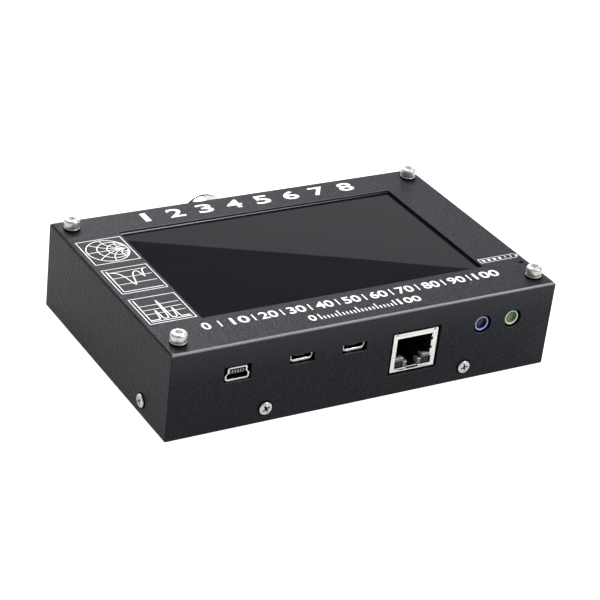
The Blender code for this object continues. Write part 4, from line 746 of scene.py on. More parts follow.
def makeSeal(look):
    left, right, front, rear = coverValues["window"]
    lap = look["lap"]
    seal = block("window_seal", (left - lap, front - lap, look["low"]),
                 (right + lap, rear + lap, look["top"]))
    atLeft, atRight, atFront, atRear = look["shown"]
    opening = block("cutSeal", (left + atLeft, front + atFront, look["low"] - 1),
                    (right - atRight, rear - atRear, look["top"] + 1))
    # the rear bar grows thin towards the right
    startEdit(opening, "EDGE")
    pickEdges(opening, lambda a, b: abs(a.z - b.z) > 1 and min(a.x, b.x) > 0 and min(a.y, b.y) > 0)
    bpy.ops.transform.translate(value=(0, look["taper"] * mm, 0))
    endEdit()
    cut(seal, opening)
    easeEdges(seal, 0.03)
    return smooth(seal, 30)


dress(makeSeal(sealValues), made["seal"], "case", [])


# network socket: folded shield, stepped insert, springs and contacts
ethernetValues = {
    "middle": 16.6,
    "half": 8.0,
    "front": -42.95,
    "back": -21.65,
    "low": 7.83,
    "top": 21.2,
    "rimSide": 1.45,
    "rimTop": 1.7,
    "rimLow": 1.15,
    "dish": (0.32, 0.08),
    "cavityHalf": 6.1,
    "depth": 13.0,
    "latchHalf": 2.3,
    "latchHigh": 1.6,
    "shoulderHalf": 3.7,
    "shoulderHigh": 3.2,
    "contacts": 8,
    "pitch": 1.02,
    "wire": 0.35,
    # lamp windows and steps in the lower corners, each from, to, low and high, and tabs of the side spring
    "windows": (3.5, 6.5, 1.3, 3.15),
    "bands": (3.4, 6.3, 3.3, 4.35),
    "steps": (1.95, 3.25, 1.2, 2.85),
    "tabs": ((3.6, 6.2), (7.0, 9.2), (10.2, 11.3)),
    # sheet of the shield, room round the insert, nicks in the rim: from the side, half width and depth
    "wall": 0.3,
    "gap": 0.6,
    "nick": (1.25, 0.2, 0.7),
    # leaves folded back into the mouth: heights of the side ones, places and width of the roof ones
    "sideLeaves": ((12.6, 15.2), (16.2, 18.9)),
    "roofLeaves": (-3.4, 3.4),
    "roofLeafWide": 2.2,
    "leafThick": 0.22,
    "leafSet": (0.12, 0.45, 0.5),     # out of the rim, behind the front, and length of the first bit
    "sideBends": ((0.10, 0.9), (0.42, 1.2), (0.25, 1.1), (-0.15, 0.9)),     # into the mouth, and back
    "roofBends": ((-0.08, 0.9), (-0.3, 1.2), (-0.2, 1.1), (0.12, 0.9)),     # up, and back
    # corner steps: how far back they end; painted highlights along their top edges: from, to and thickness
    "stepBack": 2.6,
    "stepHighlight": (0.22, 1.3, 0.26),
    # contacts: where they start behind the front, how they run, and the bar: its back, length and height
    "wireFrom": 5.4,
    "wireMoves": ((0, 0.25, 0), (0, 0.8, -0.05), (0, 2.6, -0.62), (0, 3.0, -0.8), (0, 1.0, -0.33)),
    "wireBar": (7.8, 0.9, 2.15),
}


def makeEthernetShield(look):
    x, half, front, low, top = look["middle"], look["half"], look["front"], look["low"], look["top"]
    shield = block("ethernet_frame", (x - half, front, low), (x + half, look["back"], top))
    side, under = look["rimSide"], look["rimLow"]
    mouth = block("cutMouth", (x - half + side, front - 1, low + under),
                  (x + half - side, front + 1, top - look["rimTop"]))
    wall = look["wall"]
    hollow = block("cutHollow", (x - half + wall, front + wall, low + wall),
                   (x + half - wall, look["back"] - wall, top - wall))
    cut(shield, hollow, mouth)
    # slot for the latch in the lower rim, and nicks where the folded strips meet
    slot = look["latchHalf"] - 0.1
    cut(shield, block("cutLatch", (x - slot, front - 1, low + 0.42),
                      (x + slot, front + 0.6, low + under + 0.2)))
    fromSide, thin, deep = look["nick"]
    for sign in (-1, 1):
        spot = x + sign * (half - fromSide)
        cut(shield, block("cutNick", (spot - thin, front - 1, top - deep),
                          (spot + thin, front + 0.5, top + 1)))
    # face of the frame slightly dished, as folded strips are
    startEdit(shield)
    pickFaces(shield, lambda middle, normal: normal.y < -0.9 and middle.y < front + 0.01)
    width, depth = look["dish"]
    bpy.ops.mesh.inset(thickness=width * mm, depth=0)
    bpy.ops.transform.translate(value=(0, depth * mm, 0))
    endEdit()
    easeEdges(shield, 0.06, 2, 60)
    return smooth(shield, 30)


def makeEthernetInsert(look):
    x, gap = look["middle"], look["gap"]
    low = (x - look["half"] + gap, look["front"] + gap, look["low"] + gap)
    high = (x + look["half"] - gap, look["back"] - gap, look["top"] - gap)
    insert = block("ethernet_core", low, high)
    floor = look["low"] + look["rimLow"]
    roof = look["top"] - look["rimTop"]
    deep = look["front"] + gap + look["depth"]
    steps = (
        (look["cavityHalf"], floor + look["shoulderHigh"], roof),
        (look["shoulderHalf"], floor + look["latchHigh"], roof - 0.5),
        (look["latchHalf"], floor, roof - 1.0),
    )
    for half, under, over in steps:
        cut(insert, block("cutCavity", (x - half, look["front"] - 1, under), (x + half, deep, over)))
    easeEdges(insert, 0.14)
    return smooth(insert, 30)


def makeLeaf(name, start, size, moves):
    # a strip drawn out step by step from a small first block
    low = [a - b / 2 for a, b in zip(start, size)]
    high = [a + b / 2 for a, b in zip(start, size)]
    leaf = block(name, low, high)
    startEdit(leaf)
    first = Vector(moves[0]).normalized()
    pickFaces(leaf, lambda middle, normal: normal.dot(first) > 0.7)
    for move in moves:
        bpy.ops.mesh.extrude_region_move(TRANSFORM_OT_translate={"value": tuple(v * mm for v in move)})
    endEdit()
    return leaf


def makeEthernetSprings(look):
    # leaves folded back from the rim into the mouth, two at each side and two under the roof
    x, front, top, thick = look["middle"], look["front"], look["top"], look["leafThick"]
    outward, behind, first = look["leafSet"]
    leaves = []
    for sign in (-1, 1):
        inner = x + sign * (look["half"] - look["rimSide"] + outward)
        moves = [(-sign * side, along, 0) for side, along in look["sideBends"]]
        for low, high in look["sideLeaves"]:
            start = (inner, front + behind, (low + high) / 2)
            leaves.append(makeLeaf("leaf", start, (thick, first, high - low), moves))
    moves = [(0, along, up) for up, along in look["roofBends"]]
    for spot in look["roofLeaves"]:
        start = (x + spot, front + behind, top - look["rimTop"] + outward)
        leaves.append(makeLeaf("leaf", start, (look["roofLeafWide"], first, thick), moves))
    # bright ledge behind the latch slot
    slot = look["latchHalf"] - 0.25
    low = look["low"] + look["rimLow"]
    leaves.append(block("ledge", (x - slot, front + 0.28, low - 0.26), (x + slot, front + 1.6, low + 0.04)))
    # tabs that stand into the mouth on the right
    inner = x + look["half"] - look["rimSide"]
    for under, over in look["tabs"]:
        spot = (inner - 0.5, front + 0.06, look["low"] + under)
        leaves.append(block("tab", spot, (inner + 0.1, front + 1.1, look["low"] + over)))
    springs = unite(*leaves)
    springs.name = "ethernet_springs"
    easeEdges(springs, 0.05)
    return smooth(springs, 40)


def makeCornerBlocks(name, look, values, recess):
    # a pair of blocks in the lower corners of the mouth
    x, front, low = look["middle"], look["front"], look["low"]
    near, far, under, over = values
    pair = []
    for sign in (-1, 1):
        a, b = sorted((x + sign * near, x + sign * far))
        pair.append(block(name, (a, front + recess, low + under), (b, front + look["stepBack"], low + over)))
    blocks = unite(*pair)
    easeEdges(blocks, 0.12, 3)
    return smooth(blocks)


def makeStepHighlights(look):
    # bright strips along the top edges of the corner steps, as painted highlights
    x, front = look["middle"], look["front"]
    start, end, thick = look["stepHighlight"]
    edges = []
    for near, far, _, over in (look["bands"], look["steps"]):
        for sign in (-1, 1):
            a, b = sorted((x + sign * near, x + sign * far))
            level = look["low"] + over
            edges.append(block("edge", (a, front + start, level), (b, front + end, level + thick)))
    highlightStrips = unite(*edges)
    highlightStrips.name = "ethernet_step_highlights"
    easeEdges(highlightStrips, 0.05)
    return smooth(highlightStrips)


def makeEthernetContacts(look):
    x = look["middle"]
    near = look["front"] + look["wireFrom"]
    high = look["top"] - look["rimTop"] - 0.3
    thin = look["wire"]
    wires = []
    for index in range(look["contacts"]):
        spot = x + (index - (look["contacts"] - 1) / 2) * look["pitch"]
        start = (spot, near + 0.15, high - thin / 2)
        wires.append(makeLeaf("wire", start, (thin, 0.3, thin), look["wireMoves"]))
    half = (look["contacts"] - 1) / 2 * look["pitch"] + thin
    far, long, tall = look["wireBar"]
    back = near + far
    wires.append(block("bar", (x - half, back - long, high - tall), (x + half, back, high)))
    contacts = unite(*wires)
    contacts.name = "ethernet_wires"
    return smooth(contacts, 40)


e = ethernetValues
dress(makeEthernetShield(e), made["plate"], "case", ["ethernet_shield"])
dress(makeEthernetInsert(e), made["socketPlastic"], "case", ["ethernet_insert"])
dress(makeEthernetSprings(e), made["nickel"], "case", [])
dress(makeEthernetContacts(e), made["gold"], "case", ["ethernet_contacts"])
dress(makeCornerBlocks("ethernet_windows", e, e["windows"], 0.5), made["smoked"], "case", [])
bands = makeCornerBlocks("ethernet_steps", e, e["bands"], 0.36)
unite(bands, makeCornerBlocks("steps", e, e["steps"], 0.36))
dress(bands, made["greyStep"], "case", [])
dress(makeStepHighlights(e), made["steel"], "case", [])
print("network socket made")


# data sockets: shell drawn to its outline, insert with tongue and contacts
miniValues = {
    "x": -45.3, "z": 19.0, "mouth": -43.05, "back": -34.05,
    "height": 4.0, "halfWide": 3.8, "halfTop": 3.05,
    "wall": 0.3, "lipOut": 0.2, "lipIn": 0.26, "lipDeep": 0.5, "sill": 0.0,
    "tongueHalf": 2.7, "tongueThick": 1.3, "tongueRecess": 0.7, "tongueDrop": 0.6,
    "teeth": 6, "toothPitch": 0.9,
}
microValues = {
    "z": 19.775, "mouth": -42.25, "back": -36.75,
    "height": 2.45, "halfWide": 3.75, "halfNarrow": 2.8,
    "wall": 0.3, "lipOut": 0.26, "lipIn": 0.36, "lipDeep": 0.45, "sill": 0.42,
    "tongueHalf": 1.9, "tongueThick": 0.45, "tongueRecess": 0.9, "tongueDrop": 0.3,
    "teeth": 5, "toothPitch": 0.65,
}


def isLong(a, b):
    # an edge that runs from the mouth to the back
    return abs(a.y - b.y) > 0.3


def outlineBlock(name, look, shrink, near, far, small):
    # the socket's outline, drawn in by shrink on all sides
    x, z = look["x"], look["z"]
    tall = look["height"] / 2 - shrink
    wide = look["halfWide"] - shrink
    body = block(name, (x - wide, near, z - tall), (x + wide, far, z + tall))
    if small:
        # micro outline: full width above the middle, sloping in below it
        startEdit(body)
        bpy.ops.mesh.select_all(action="SELECT")
        bpy.ops.mesh.bisect(plane_co=(x * mm, 0, z * mm), plane_no=(0, 0, 1))
        pickFaces(body, lambda middle, normal: normal.z < -0.5)
        share = (look["halfNarrow"] - shrink) / wide
        bpy.ops.transform.resize(value=(share, 1, 1), center_override=(x * mm, 0, z * mm))
        endEdit()
        roundEdges(body, isLong, max(0.45 - shrink, 0.15), 4)
    else:
        # mini outline: a step narrower in the upper part, corners cut off below
        startEdit(body)
        for level in (0.4, -0.35):
            bpy.ops.mesh.select_all(action="SELECT")
            bpy.ops.mesh.bisect(plane_co=(x * mm, 0, (z + level) * mm), plane_no=(0, 0, 1))
        pickEdges(body, lambda a, b: min(a.z, b.z) > z + 0.3 and isLong(a, b))
        share = (look["halfTop"] - shrink) / wide
        bpy.ops.transform.resize(value=(share, 1, 1), center_override=(x * mm, 0, z * mm))
        endEdit()
        roundEdges(body, lambda a, b: isLong(a, b) and min(a.z, b.z) > z + 1, max(0.5 - shrink, 0.2), 4)
        roundEdges(body, lambda a, b: isLong(a, b) and max(a.z, b.z) < z - 1, max(0.75 - shrink, 0.4), 4)
    return body


def makeShell(name, look, small):
    near, far = look["mouth"], look["back"]
    shell = outlineBlock(name, look, 0, near + 0.1, far, small)
    cut(shell, outlineBlock("cutShell", look, look["wall"], near - 1, far - look["wall"], small))
    # flared lip round the mouth
    lip = outlineBlock("lip", look, -look["lipOut"], near, near + look["lipDeep"], small)
    cut(lip, outlineBlock("cutLip", look, look["lipIn"], near - 1, near + 3, small))
    startEdit(lip, "EDGE")
    pickEdges(lip, lambda a, b: max(a.y, b.y) < near + 0.01)
    bpy.ops.mesh.bevel(offset=0.1 * mm, segments=2, affect="EDGES")
    endEdit()
    shell = unite(shell, lip)
    if look["sill"]:
        # lower lip bent up in front of the mouth's floor
        floor = look["z"] - look["height"] / 2
        half = look["halfNarrow"] - 0.1
        sill = block("sill", (look["x"] - half, near + 0.02, floor),
                     (look["x"] + half, near + 0.34, floor + look["wall"] + look["sill"]))
        easeEdges(sill, 0.13, 4)
        shell = unite(shell, sill)
    shell.name = name
    return smooth(shell)


def makeInsert(name, look, small):
    near, far = look["mouth"], look["back"]
    x, z = look["x"], look["z"]
    gap = look["wall"] + 0.15
    insert = outlineBlock(name, look, gap, near + (far - near) * 0.62, far - look["wall"] - 0.1, small)
    top = z + look["height"] / 2 - gap - look["tongueDrop"]
    tip = near + look["tongueRecess"]
    half = look["tongueHalf"]
    tongue = block("tongue", (x - half, tip, top - look["tongueThick"]), (x + half, far - 1.5, top))
    easeEdges(tongue, 0.08)
    return smooth(unite(insert, tongue), 35)


def makeTeeth(name, look):
    # spring contacts bent down over the tongue's tip and back along its underside
    near = look["mouth"] + look["tongueRecess"]
    top = look["z"] + look["height"] / 2 - look["wall"] - 0.2 - look["tongueDrop"]
    tall = look["tongueThick"] - 0.1
    teeth = []
    for index in range(look["teeth"]):
        spot = look["x"] + (index - (look["teeth"] - 1) / 2) * look["toothPitch"]
        thin = look["toothPitch"] * 0.45
        moves = [(0, 0, -tall * 0.6), (0, 0.05, -tall * 0.3), (0, 1.0, -0.05), (0, 1.2, 0.06)]
        teeth.append(makeLeaf("tooth", (spot, near - 0.06, top), (thin, 0.1, 0.1), moves))
    contacts = unite(*teeth)
    contacts.name = name
    easeEdges(contacts, 0.03)
    return smooth(contacts, 40)


def makeDataSocket(label, look, small, shellNode, insertNode):
    metal = makeShellMetalWithShade(label + "Metal", shellMetal, look["mouth"] + look["lipDeep"])
    dress(makeShell(label + "_rim", look, small), metal, "case", [shellNode])
    core = makeInsert(label + "_core", look, small)
    dress(core, made["socketPlastic"], "case", [insertNode])
    dress(makeTeeth(label + "_contacts", look), made["tooth"], "case", [])


makeDataSocket("mini_socket", miniValues, False, "mini_usb_shell", "mini_usb_insert")
for side, spot in coverValues["micros"].items():
    label = "micro_usb_" + side
    look = {**microValues, "x": spot[0]}
    makeDataSocket("micro_socket_" + side, look, True, label + "_shell", label + "_insert")
print("data sockets made")


# round audio jacks: coloured nose in front of a block
lineJackValues = {
    # rings of (radius, height towards the front from the nose's rim)
    "rings": [(2.5, -1.05), (2.5, -0.2), (2.46, -0.08), (2.38, -0.02), (2.26, 0.0), (2.12, -0.03),
              (2.02, -0.12), (1.96, -0.3), (1.9, -0.9), (1.84, -2.4), (1.72, -2.6), (1.72, -11.2)],
    # radius and length of the bore through the block
    "bore": (1.72, 12.6),
    "mouth": -42.65,
    "bodyHalf": 3.0,
    "bodyFront": -41.45,
    "bodyBack": -28.95,
    "bodyLow": 16.67,
    "bodyTop": 21.2,
}


def makeLineJack(name, look, x):
    nose = place(turned(name, look["rings"], 72), (x, look["mouth"], coverValues["jackZ"]), "-Y")
    half = look["bodyHalf"]
    body = block("body", (x - half, look["bodyFront"], look["bodyLow"]),
                 (x + half, look["bodyBack"], look["bodyTop"]))
    cut(body, rod("cutBody", (x, look["bodyFront"] - 1, coverValues["jackZ"]), "+Y", *look["bore"], 72))
    easeEdges(body, 0.2)
    return smooth(unite(nose, body), 35)


for name, x in coverValues["jackXs"].items():
    finish = makeLitShadedJackPlastic("jackPlastic_" + name, jackPlastics[name], jackPlastics["mouth"])
    jack = makeLineJack("audio_jack_" + name, lineJackValues, x)
    dress(jack, finish, "case", ["line_" + name + "_jack"])
print("audio jacks made")


# coaxial jack behind the rear wall: threaded barrel with its collar, and the nut
coaxValues = {
    "x": -2.0, "z": 12.3, "inside": 40.15, "collar": 2.0, "collarFlats": 17.5, "rim": 63.75,
    "crest": 7.9, "root": 7.4, "pitch": 1.06, "threadFrom": 42.6, "bore": 4.2, "boreDepth": 9.0, "core": 3.4,
    "smoothEnd": 7.5, "groove": (62.4, 63.1),
    "nutFlats": 19.0, "nutFrom": 43.55, "nutThick": 3.0, "nutHole": 8.1, "nutTurn": 14,
}


def hexBlock(name, flats, thick, turn):
    # a hexagon with its corners turned off on both sides, standing on the ground
    sides = flats / 2
    tip = flats / math.sqrt(3)
    rough = turned(name, [(sides + 0.2, 0), (tip, 0.55), (tip, thick - 0.55), (sides + 0.2, thick)], 96)
    for step in range(6):
        angle = math.radians(turn + 60 * step)
        useOnly(rough)
        bpy.ops.object.mode_set(mode="EDIT")
        bpy.ops.mesh.select_all(action="SELECT")
        way = (math.cos(angle), math.sin(angle), 0)
        spot = (way[0] * sides * mm, way[1] * sides * mm, 0)
        bpy.ops.mesh.bisect(plane_co=spot, plane_no=way, clear_outer=True, use_fill=True)
        endEdit()
    return rough


def makeBarrel(look):
    rim, core, crest, root = look["rim"], look["core"], look["crest"], look["root"]
    start = look["inside"]
    rings = [(core, start + 0.6), (core, start), (crest, start), (crest, look["threadFrom"])]
    level = look["threadFrom"]
    while level < rim - look["smoothEnd"]:
        rings += [(root, level + 0.26), (root, level + 0.46)]
        rings += [(crest, level + 0.74), (crest, level + look["pitch"])]
        level += look["pitch"]
    near, far = look["groove"]
    rings += [(crest, near), (crest - 0.3, near + 0.04), (crest - 0.3, far - 0.04), (crest, far)]
    bore, end = look["bore"], rim - look["boreDepth"]
    rings += [(crest, rim - 0.3), (crest - 0.1, rim - 0.12), (crest - 0.5, rim), (bore + 0.4, rim),
              (bore + 0.12, rim - 0.1), (bore, rim - 0.4), (bore, end), (core, end), (core, end - 0.6)]
    barrel = turned("coax_barrel", rings, 96)
    collar = hexBlock("collar", look["collarFlats"], look["collar"], 0)
    cut(collar, rod("cutCollar", (0, 0, -1), "+Z", crest - 0.4, 4, 96))
    collar.location = (0, 0, start * mm)
    barrel = unite(barrel, collar)
    place(barrel, (look["x"], 0, look["z"]), "+Y")
    return smooth(barrel, 32)


def makeCoaxNut(look):
    nut = hexBlock("coax_nut", look["nutFlats"], look["nutThick"], look["nutTurn"])
    cut(nut, rod("cutNut", (0, 0, -1), "+Z", look["nutHole"], 6, 96))
    place(nut, (look["x"], look["nutFrom"], look["z"]), "+Y")
    return smooth(nut, 32)


def makeCoaxShadeRing(look):
    # painted shade: dark ring in the groove near the barrel's rim
    near, far = look["groove"]
    outer, inner = look["crest"] + 0.04, look["crest"] - 0.28
    rings = [(inner, near + 0.05), (outer - 0.04, near + 0.05), (outer, near + 0.12), (outer, far - 0.12),
             (outer - 0.04, far - 0.05), (inner, far - 0.05)]
    ring = turned("coax_shade_ring", rings, 96)
    cut(ring, rod("cutRing", (0, 0, near - 1), "+Z", inner, 3, 96))
    place(ring, (look["x"], 0, look["z"]), "+Y")
    return smooth(ring, 32)


dress(makeBarrel(coaxValues), made["barrel"], "case", ["rf_jack_body"])
dress(makeCoaxShadeRing(coaxValues), made["shadowBlack"], "case", [])
dress(makeCoaxNut(coaxValues), made["barrel"], "case", ["rf_jack_nut"])
print("coaxial jack made")


# rocker of the switch in the right wall, with its two marks
rockerValues = {
    "pivot": (67.5, 10.0, 15.6), "tilt": 8,
    "arm": 4.9, "crown": 1.6, "half": 2.85, "skirt": 4.2, "foot": 0.62,
    "pin": 0.9, "pinReach": 3.65, "mark": 2.75, "bar": 0.34, "ring": 0.8,
}


def settle(piece, look):
    # tilts a piece made round the pivot to the rocker's rest and moves it there
    useOnly(piece)
    piece.rotation_euler = (0, 0, math.radians(look["tilt"]))
    piece.location = Vector(look["pivot"]) * mm
    bpy.ops.object.transform_apply(location=True, rotation=True, scale=True)
    return piece


def makeRocker(look):
    arm, crown, half = look["arm"], look["crown"], look["half"]
    cap = block("rocker_cap", (-look["skirt"], -arm, -half), (crown, arm, half))
    startEdit(cap)
    bpy.ops.mesh.select_all(action="SELECT")
    bpy.ops.mesh.bisect(plane_co=(0, 0, 0), plane_no=(0, 1, 0))
    rise = arm * math.tan(math.radians(look["tilt"]))
    pickEdges(cap, lambda a, b: min(a.x, b.x) > crown - 0.01 and min(abs(a.y), abs(b.y)) > arm - 0.01)
    bpy.ops.transform.translate(value=(rise * mm, 0, 0))
    pickFaces(cap, lambda middle, normal: normal.x < -0.9)
    bpy.ops.transform.resize(value=(1, look["foot"], 1), center_override=(0, 0, 0))
    endEdit()
    easeEdges(cap, 0.3, 3, 30)
    pins = rod("pins", (0, 0, -look["pinReach"]), "+Z", look["pin"], look["pinReach"] * 2, 32)
    return smooth(settle(unite(cap, pins), look), 30)


def makeRockerMarks(look):
    # a bar on one half and a ring on the other
    slope = math.radians(look["tilt"])
    out = look["crown"] + look["mark"] * math.tan(slope)
    thin = look["bar"] / 2
    bar = block("bar", (-0.04, -thin, -1.1), (0.04, thin, 1.1))
    easeEdges(bar, 0.02)
    bpy.ops.object.select_all(action="DESELECT")
    bpy.ops.mesh.primitive_torus_add(
        major_radius=look["ring"] * mm, minor_radius=thin * mm, major_segments=48, minor_segments=12
    )
    ring = bpy.context.active_object
    ring.scale = (1, 1, 0.04 / thin)
    place(ring, (0, 0, 0), "+X")
    for mark, sign in ((bar, -1), (ring, 1)):
        useOnly(mark)
        mark.rotation_euler = (0, 0, -sign * slope)
        mark.location = (out * mm, sign * look["mark"] * mm, 0)
        bpy.ops.object.transform_apply(location=True, rotation=True, scale=True)
    marks = unite(bar, ring)
    marks.name = "rocker_marks"
    return smooth(settle(marks, look), 30)


dress(makeRocker(rockerValues), made["blackPlastic"], "rocker", ["switch_rocker"])
dress(makeRockerMarks(rockerValues), made["printInk"], "rocker", [])
print("rocker made")


# white print: charts, numbers and scales of the maker's own, pressed flat on the paint
printValues = {
    "height": 0.03,
    "stroke": 0.42,
    "weight": 0.02,
    "finer": {"grid": 0.26, "circles": 0.34, "arcs": 0.3, "cell": 0.3},
    "bolder": {"tick": 0.5, "level": 1.0},
    "charts": {"circles": (-65.5, 12.8), "dips": (-65.5, -6.2), "peaks": (-65.5, -25.3)},
    "chartSize": (15.0, 15.2),
    "digits": {"first": -37.0, "pitch": 10.65, "low": 34.6, "tall": 5.6, "wide": 5.6},
    "scale": {"left": -51.9, "right": 53.1, "low": -33.4, "tall": 3.9, "digit": 2.75},
    "range": {"left": -19.4, "right": 20.0, "low": -39.2, "tall": 3.3, "digit": 2.4, "ticks": 21},
    "cell": (51.6, 66.4, -24.6, -22.2),
}


def flattenMark(mark):
    # curve or text to mesh; its maker then presses it to a thin film
    useOnly(mark)
    bpy.ops.object.convert(target="MESH")
    return bpy.context.active_object


def inkLine(points, closed=False, stroke=None):
    # a line of ink through points given in millimetres on the top face
    stroke = stroke or printValues["stroke"]
    curve = bpy.data.curves.new("inkLine", "CURVE")
    curve.dimensions = "3D"
    curve.bevel_depth = stroke / 2 * mm
    curve.bevel_resolution = 1
    curve.use_fill_caps = True
    spline = curve.splines.new("POLY")
    spline.points.add(len(points) - 1)
    for spot, (x, y) in zip(spline.points, points):
        spot.co = (x * mm, y * mm, 0, 1)
    spline.use_cyclic_u = closed
    mark = bpy.data.objects.new("inkLine", curve)
    bpy.context.scene.collection.objects.link(mark)
    mark = flattenMark(mark)
    mark.scale = (1, 1, printValues["height"] * 2 / stroke)
    mark.location = (0, 0, case["top"] * mm)
    bpy.ops.object.transform_apply(location=True, rotation=True, scale=True)
    return mark


def inkText(text, left, right, low, high):
    # plain numbers stretched into a rectangle on the top face
    bpy.ops.object.select_all(action="DESELECT")
    bpy.ops.object.text_add()
    mark = bpy.context.active_object
    mark.data.body = text
    mark.data.offset = printValues["weight"]
    mark.data.extrude = 0.5
    mark.data.resolution_u = 4
    mark = flattenMark(mark)
    corners = [Vector(c) for c in mark.bound_box]
    least = Vector(min(c[i] for c in corners) for i in range(3))
    most = Vector(max(c[i] for c in corners) for i in range(3))
    across = (right - left) * mm / (most.x - least.x)
    along = (high - low) * mm / (most.y - least.y)
    thick = printValues["height"] * mm / (most.z - least.z) * 2
    mark.scale = (across, along, thick)
    mark.location = (left * mm - least.x * across, low * mm - least.y * along, case["top"] * mm)
    bpy.ops.object.transform_apply(location=True, rotation=True, scale=True)
    return mark


def chartFrame(corner, double):
    x, y = corner
    wide, tall = printValues["chartSize"]
    marks = [inkLine([(x, y), (x + wide, y), (x + wide, y + tall), (x, y + tall)], closed=True)]
    if double:
        marks.append(inkLine([(x + 1.1, y + tall - 0.9), (x + 1.1, y + 1.1), (x + wide - 0.9, y + 1.1)]))
    return marks


def circlesChart(corner):
    # impedance circles: lines of equal resistance and of equal reactance in the unit circle
    x, y = corner
    wide, tall = printValues["chartSize"]
    middle = (x + wide / 2, y + tall / 2)
    size = min(wide, tall) / 2 - 0.75

    def spot(resistance, reactance):
        value = complex(resistance, reactance)
        mirror = (value - 1) / (value + 1)
        return middle[0] + mirror.real * size, middle[1] + mirror.imag * size

    marks = chartFrame(corner, False)
    for resistance in (0, 0.35, 1, 2.6):
        loop = []
        for step in range(1, 72):
            reactance = math.tan((step / 72 - 0.5) * math.pi)
            loop.append(spot(resistance, reactance * (0.6 + resistance)))
        marks.append(inkLine(loop, closed=True, stroke=printValues["finer"]["circles"]))
    for reactance in (0.45, 1, 2.2):
        for sign in (-1, 1):
            arc = [spot((step / 20) ** 2 * 14, sign * reactance) for step in range(21)]
            marks.append(inkLine(arc, stroke=printValues["finer"]["arcs"]))
    marks.append(inkLine([spot(0, 0), spot(60, 0)], stroke=printValues["finer"]["arcs"]))
    return marks


def gridLines(corner, levels):
    x, y = corner
    wide, tall = printValues["chartSize"]
    thin = printValues["finer"]["grid"]
    return [inkLine([(x + 1.1, y + tall * level), (x + wide - 0.9, y + tall * level)], stroke=thin)
            for level in levels]


def dipsChart(corner):
    x, y = corner
    wide, tall = printValues["chartSize"]
    marks = chartFrame(corner, True)
    marks += gridLines(corner, (0.36, 0.62, 0.86))
    curve = []
    for step in range(41):
        share = step / 40
        dip = sum(depth / (1 + ((share - at) / width) ** 2) for at, width, depth in
                  ((0.42, 0.10, 0.62), (0.80, 0.035, 0.34)))
        curve.append((x + 1.4 + share * (wide - 2.6), y + tall * (0.90 - dip)))
    marks.append(inkLine(curve))
    return marks


def peaksChart(corner):
    x, y = corner
    wide, tall = printValues["chartSize"]
    marks = chartFrame(corner, True)
    marks += gridLines(corner, (0.36, 0.52, 0.68))
    curve = []
    for step in range(81):
        share = step / 80
        rise = sum(height / (1 + ((share - at) / width) ** 4) for at, width, height in
                   ((0.5, 0.022, 0.72), (0.28, 0.025, 0.34), (0.72, 0.025, 0.34)))
        curve.append((x + 1.4 + share * (wide - 2.6), y + 1.9 + tall * rise))
    marks.append(inkLine(curve))
    return marks


def finishPrint(name, marks):
    mark = unite(*marks)
    mark.name = name
    smooth(mark, 30)
    return dress(mark, made["printInk"], "case", [])


charts = printValues["charts"]
finishPrint("print_chart_circles", circlesChart(charts["circles"]))
finishPrint("print_chart_dips", dipsChart(charts["dips"]))
finishPrint("print_chart_peaks", peaksChart(charts["peaks"]))

p = printValues["digits"]
marks = []
for index in range(8):
    left = p["first"] + index * p["pitch"] - p["wide"] / 2
    wide = p["wide"] * (0.36 if index == 0 else 1)
    left += (p["wide"] - wide) / 2
    marks.append(inkText(str(index + 1), left, left + wide, p["low"], p["low"] + p["tall"]))
finishPrint("print_numbers_rear", marks)

p = printValues["scale"]
marks = []
pitch = (p["right"] - p["left"]) / 10
for index in range(11):
    text = str(index * 10)
    wide = p["digit"] * len(text) + 0.5 * (len(text) - 1)
    left = p["left"] + index * (p["right"] - p["left"] - 3 * p["digit"] - 1) / 10
    marks.append(inkText(text, left, left + wide, p["low"], p["low"] + p["tall"]))
    if index < 10:
        gap = left + wide + (pitch - p["digit"] * 2 - 0.5) / 2 - (0.6 if index else -0.9)
        divider = [(gap, p["low"] + 0.2), (gap, p["low"] + p["tall"] - 0.2)]
        marks.append(inkLine(divider, stroke=printValues["bolder"]["tick"]))
finishPrint("print_scale_front", marks)

p = printValues["range"]
marks = [inkText("0", p["left"], p["left"] + p["digit"], p["low"], p["low"] + p["tall"])]
last = p["right"] - 3 * p["digit"] - 0.8
marks.append(inkText("100", last, p["right"], p["low"], p["low"] + p["tall"]))
first = p["left"] + p["digit"] + 1.4
for index in range(p["ticks"]):
    x = first + (last - 1.4 - first) * index / (p["ticks"] - 1)
    tall = p["tall"] * (1 if index % 5 == 0 else 0.55)
    tick = [(x, p["low"] + 0.1), (x, p["low"] + tall - 0.1)]
    marks.append(inkLine(tick, stroke=printValues["bolder"]["tick"]))
finishPrint("print_range_front", marks)

left, right, low, high = printValues["cell"]
outline = [(left, low), (right - 1.0, low), (right - 1.0, high), (left, high)]
fine, tick = printValues["finer"]["cell"], printValues["bolder"]["tick"]
marks = [inkLine(outline, closed=True, stroke=fine)]
marks.append(inkLine([(right - 0.4, low + 0.7), (right - 0.4, high - 0.7)], stroke=tick))
for index in range(6):
    x = left + 1.5 + index * 2.1
    stroke = printValues["bolder"]["level"] if index < 4 else fine
    marks.append(inkLine([(x, low + 0.6), (x, high - 0.6)], stroke=stroke))
finishPrint("print_charge_mark", marks)
print("print laid on the paint")


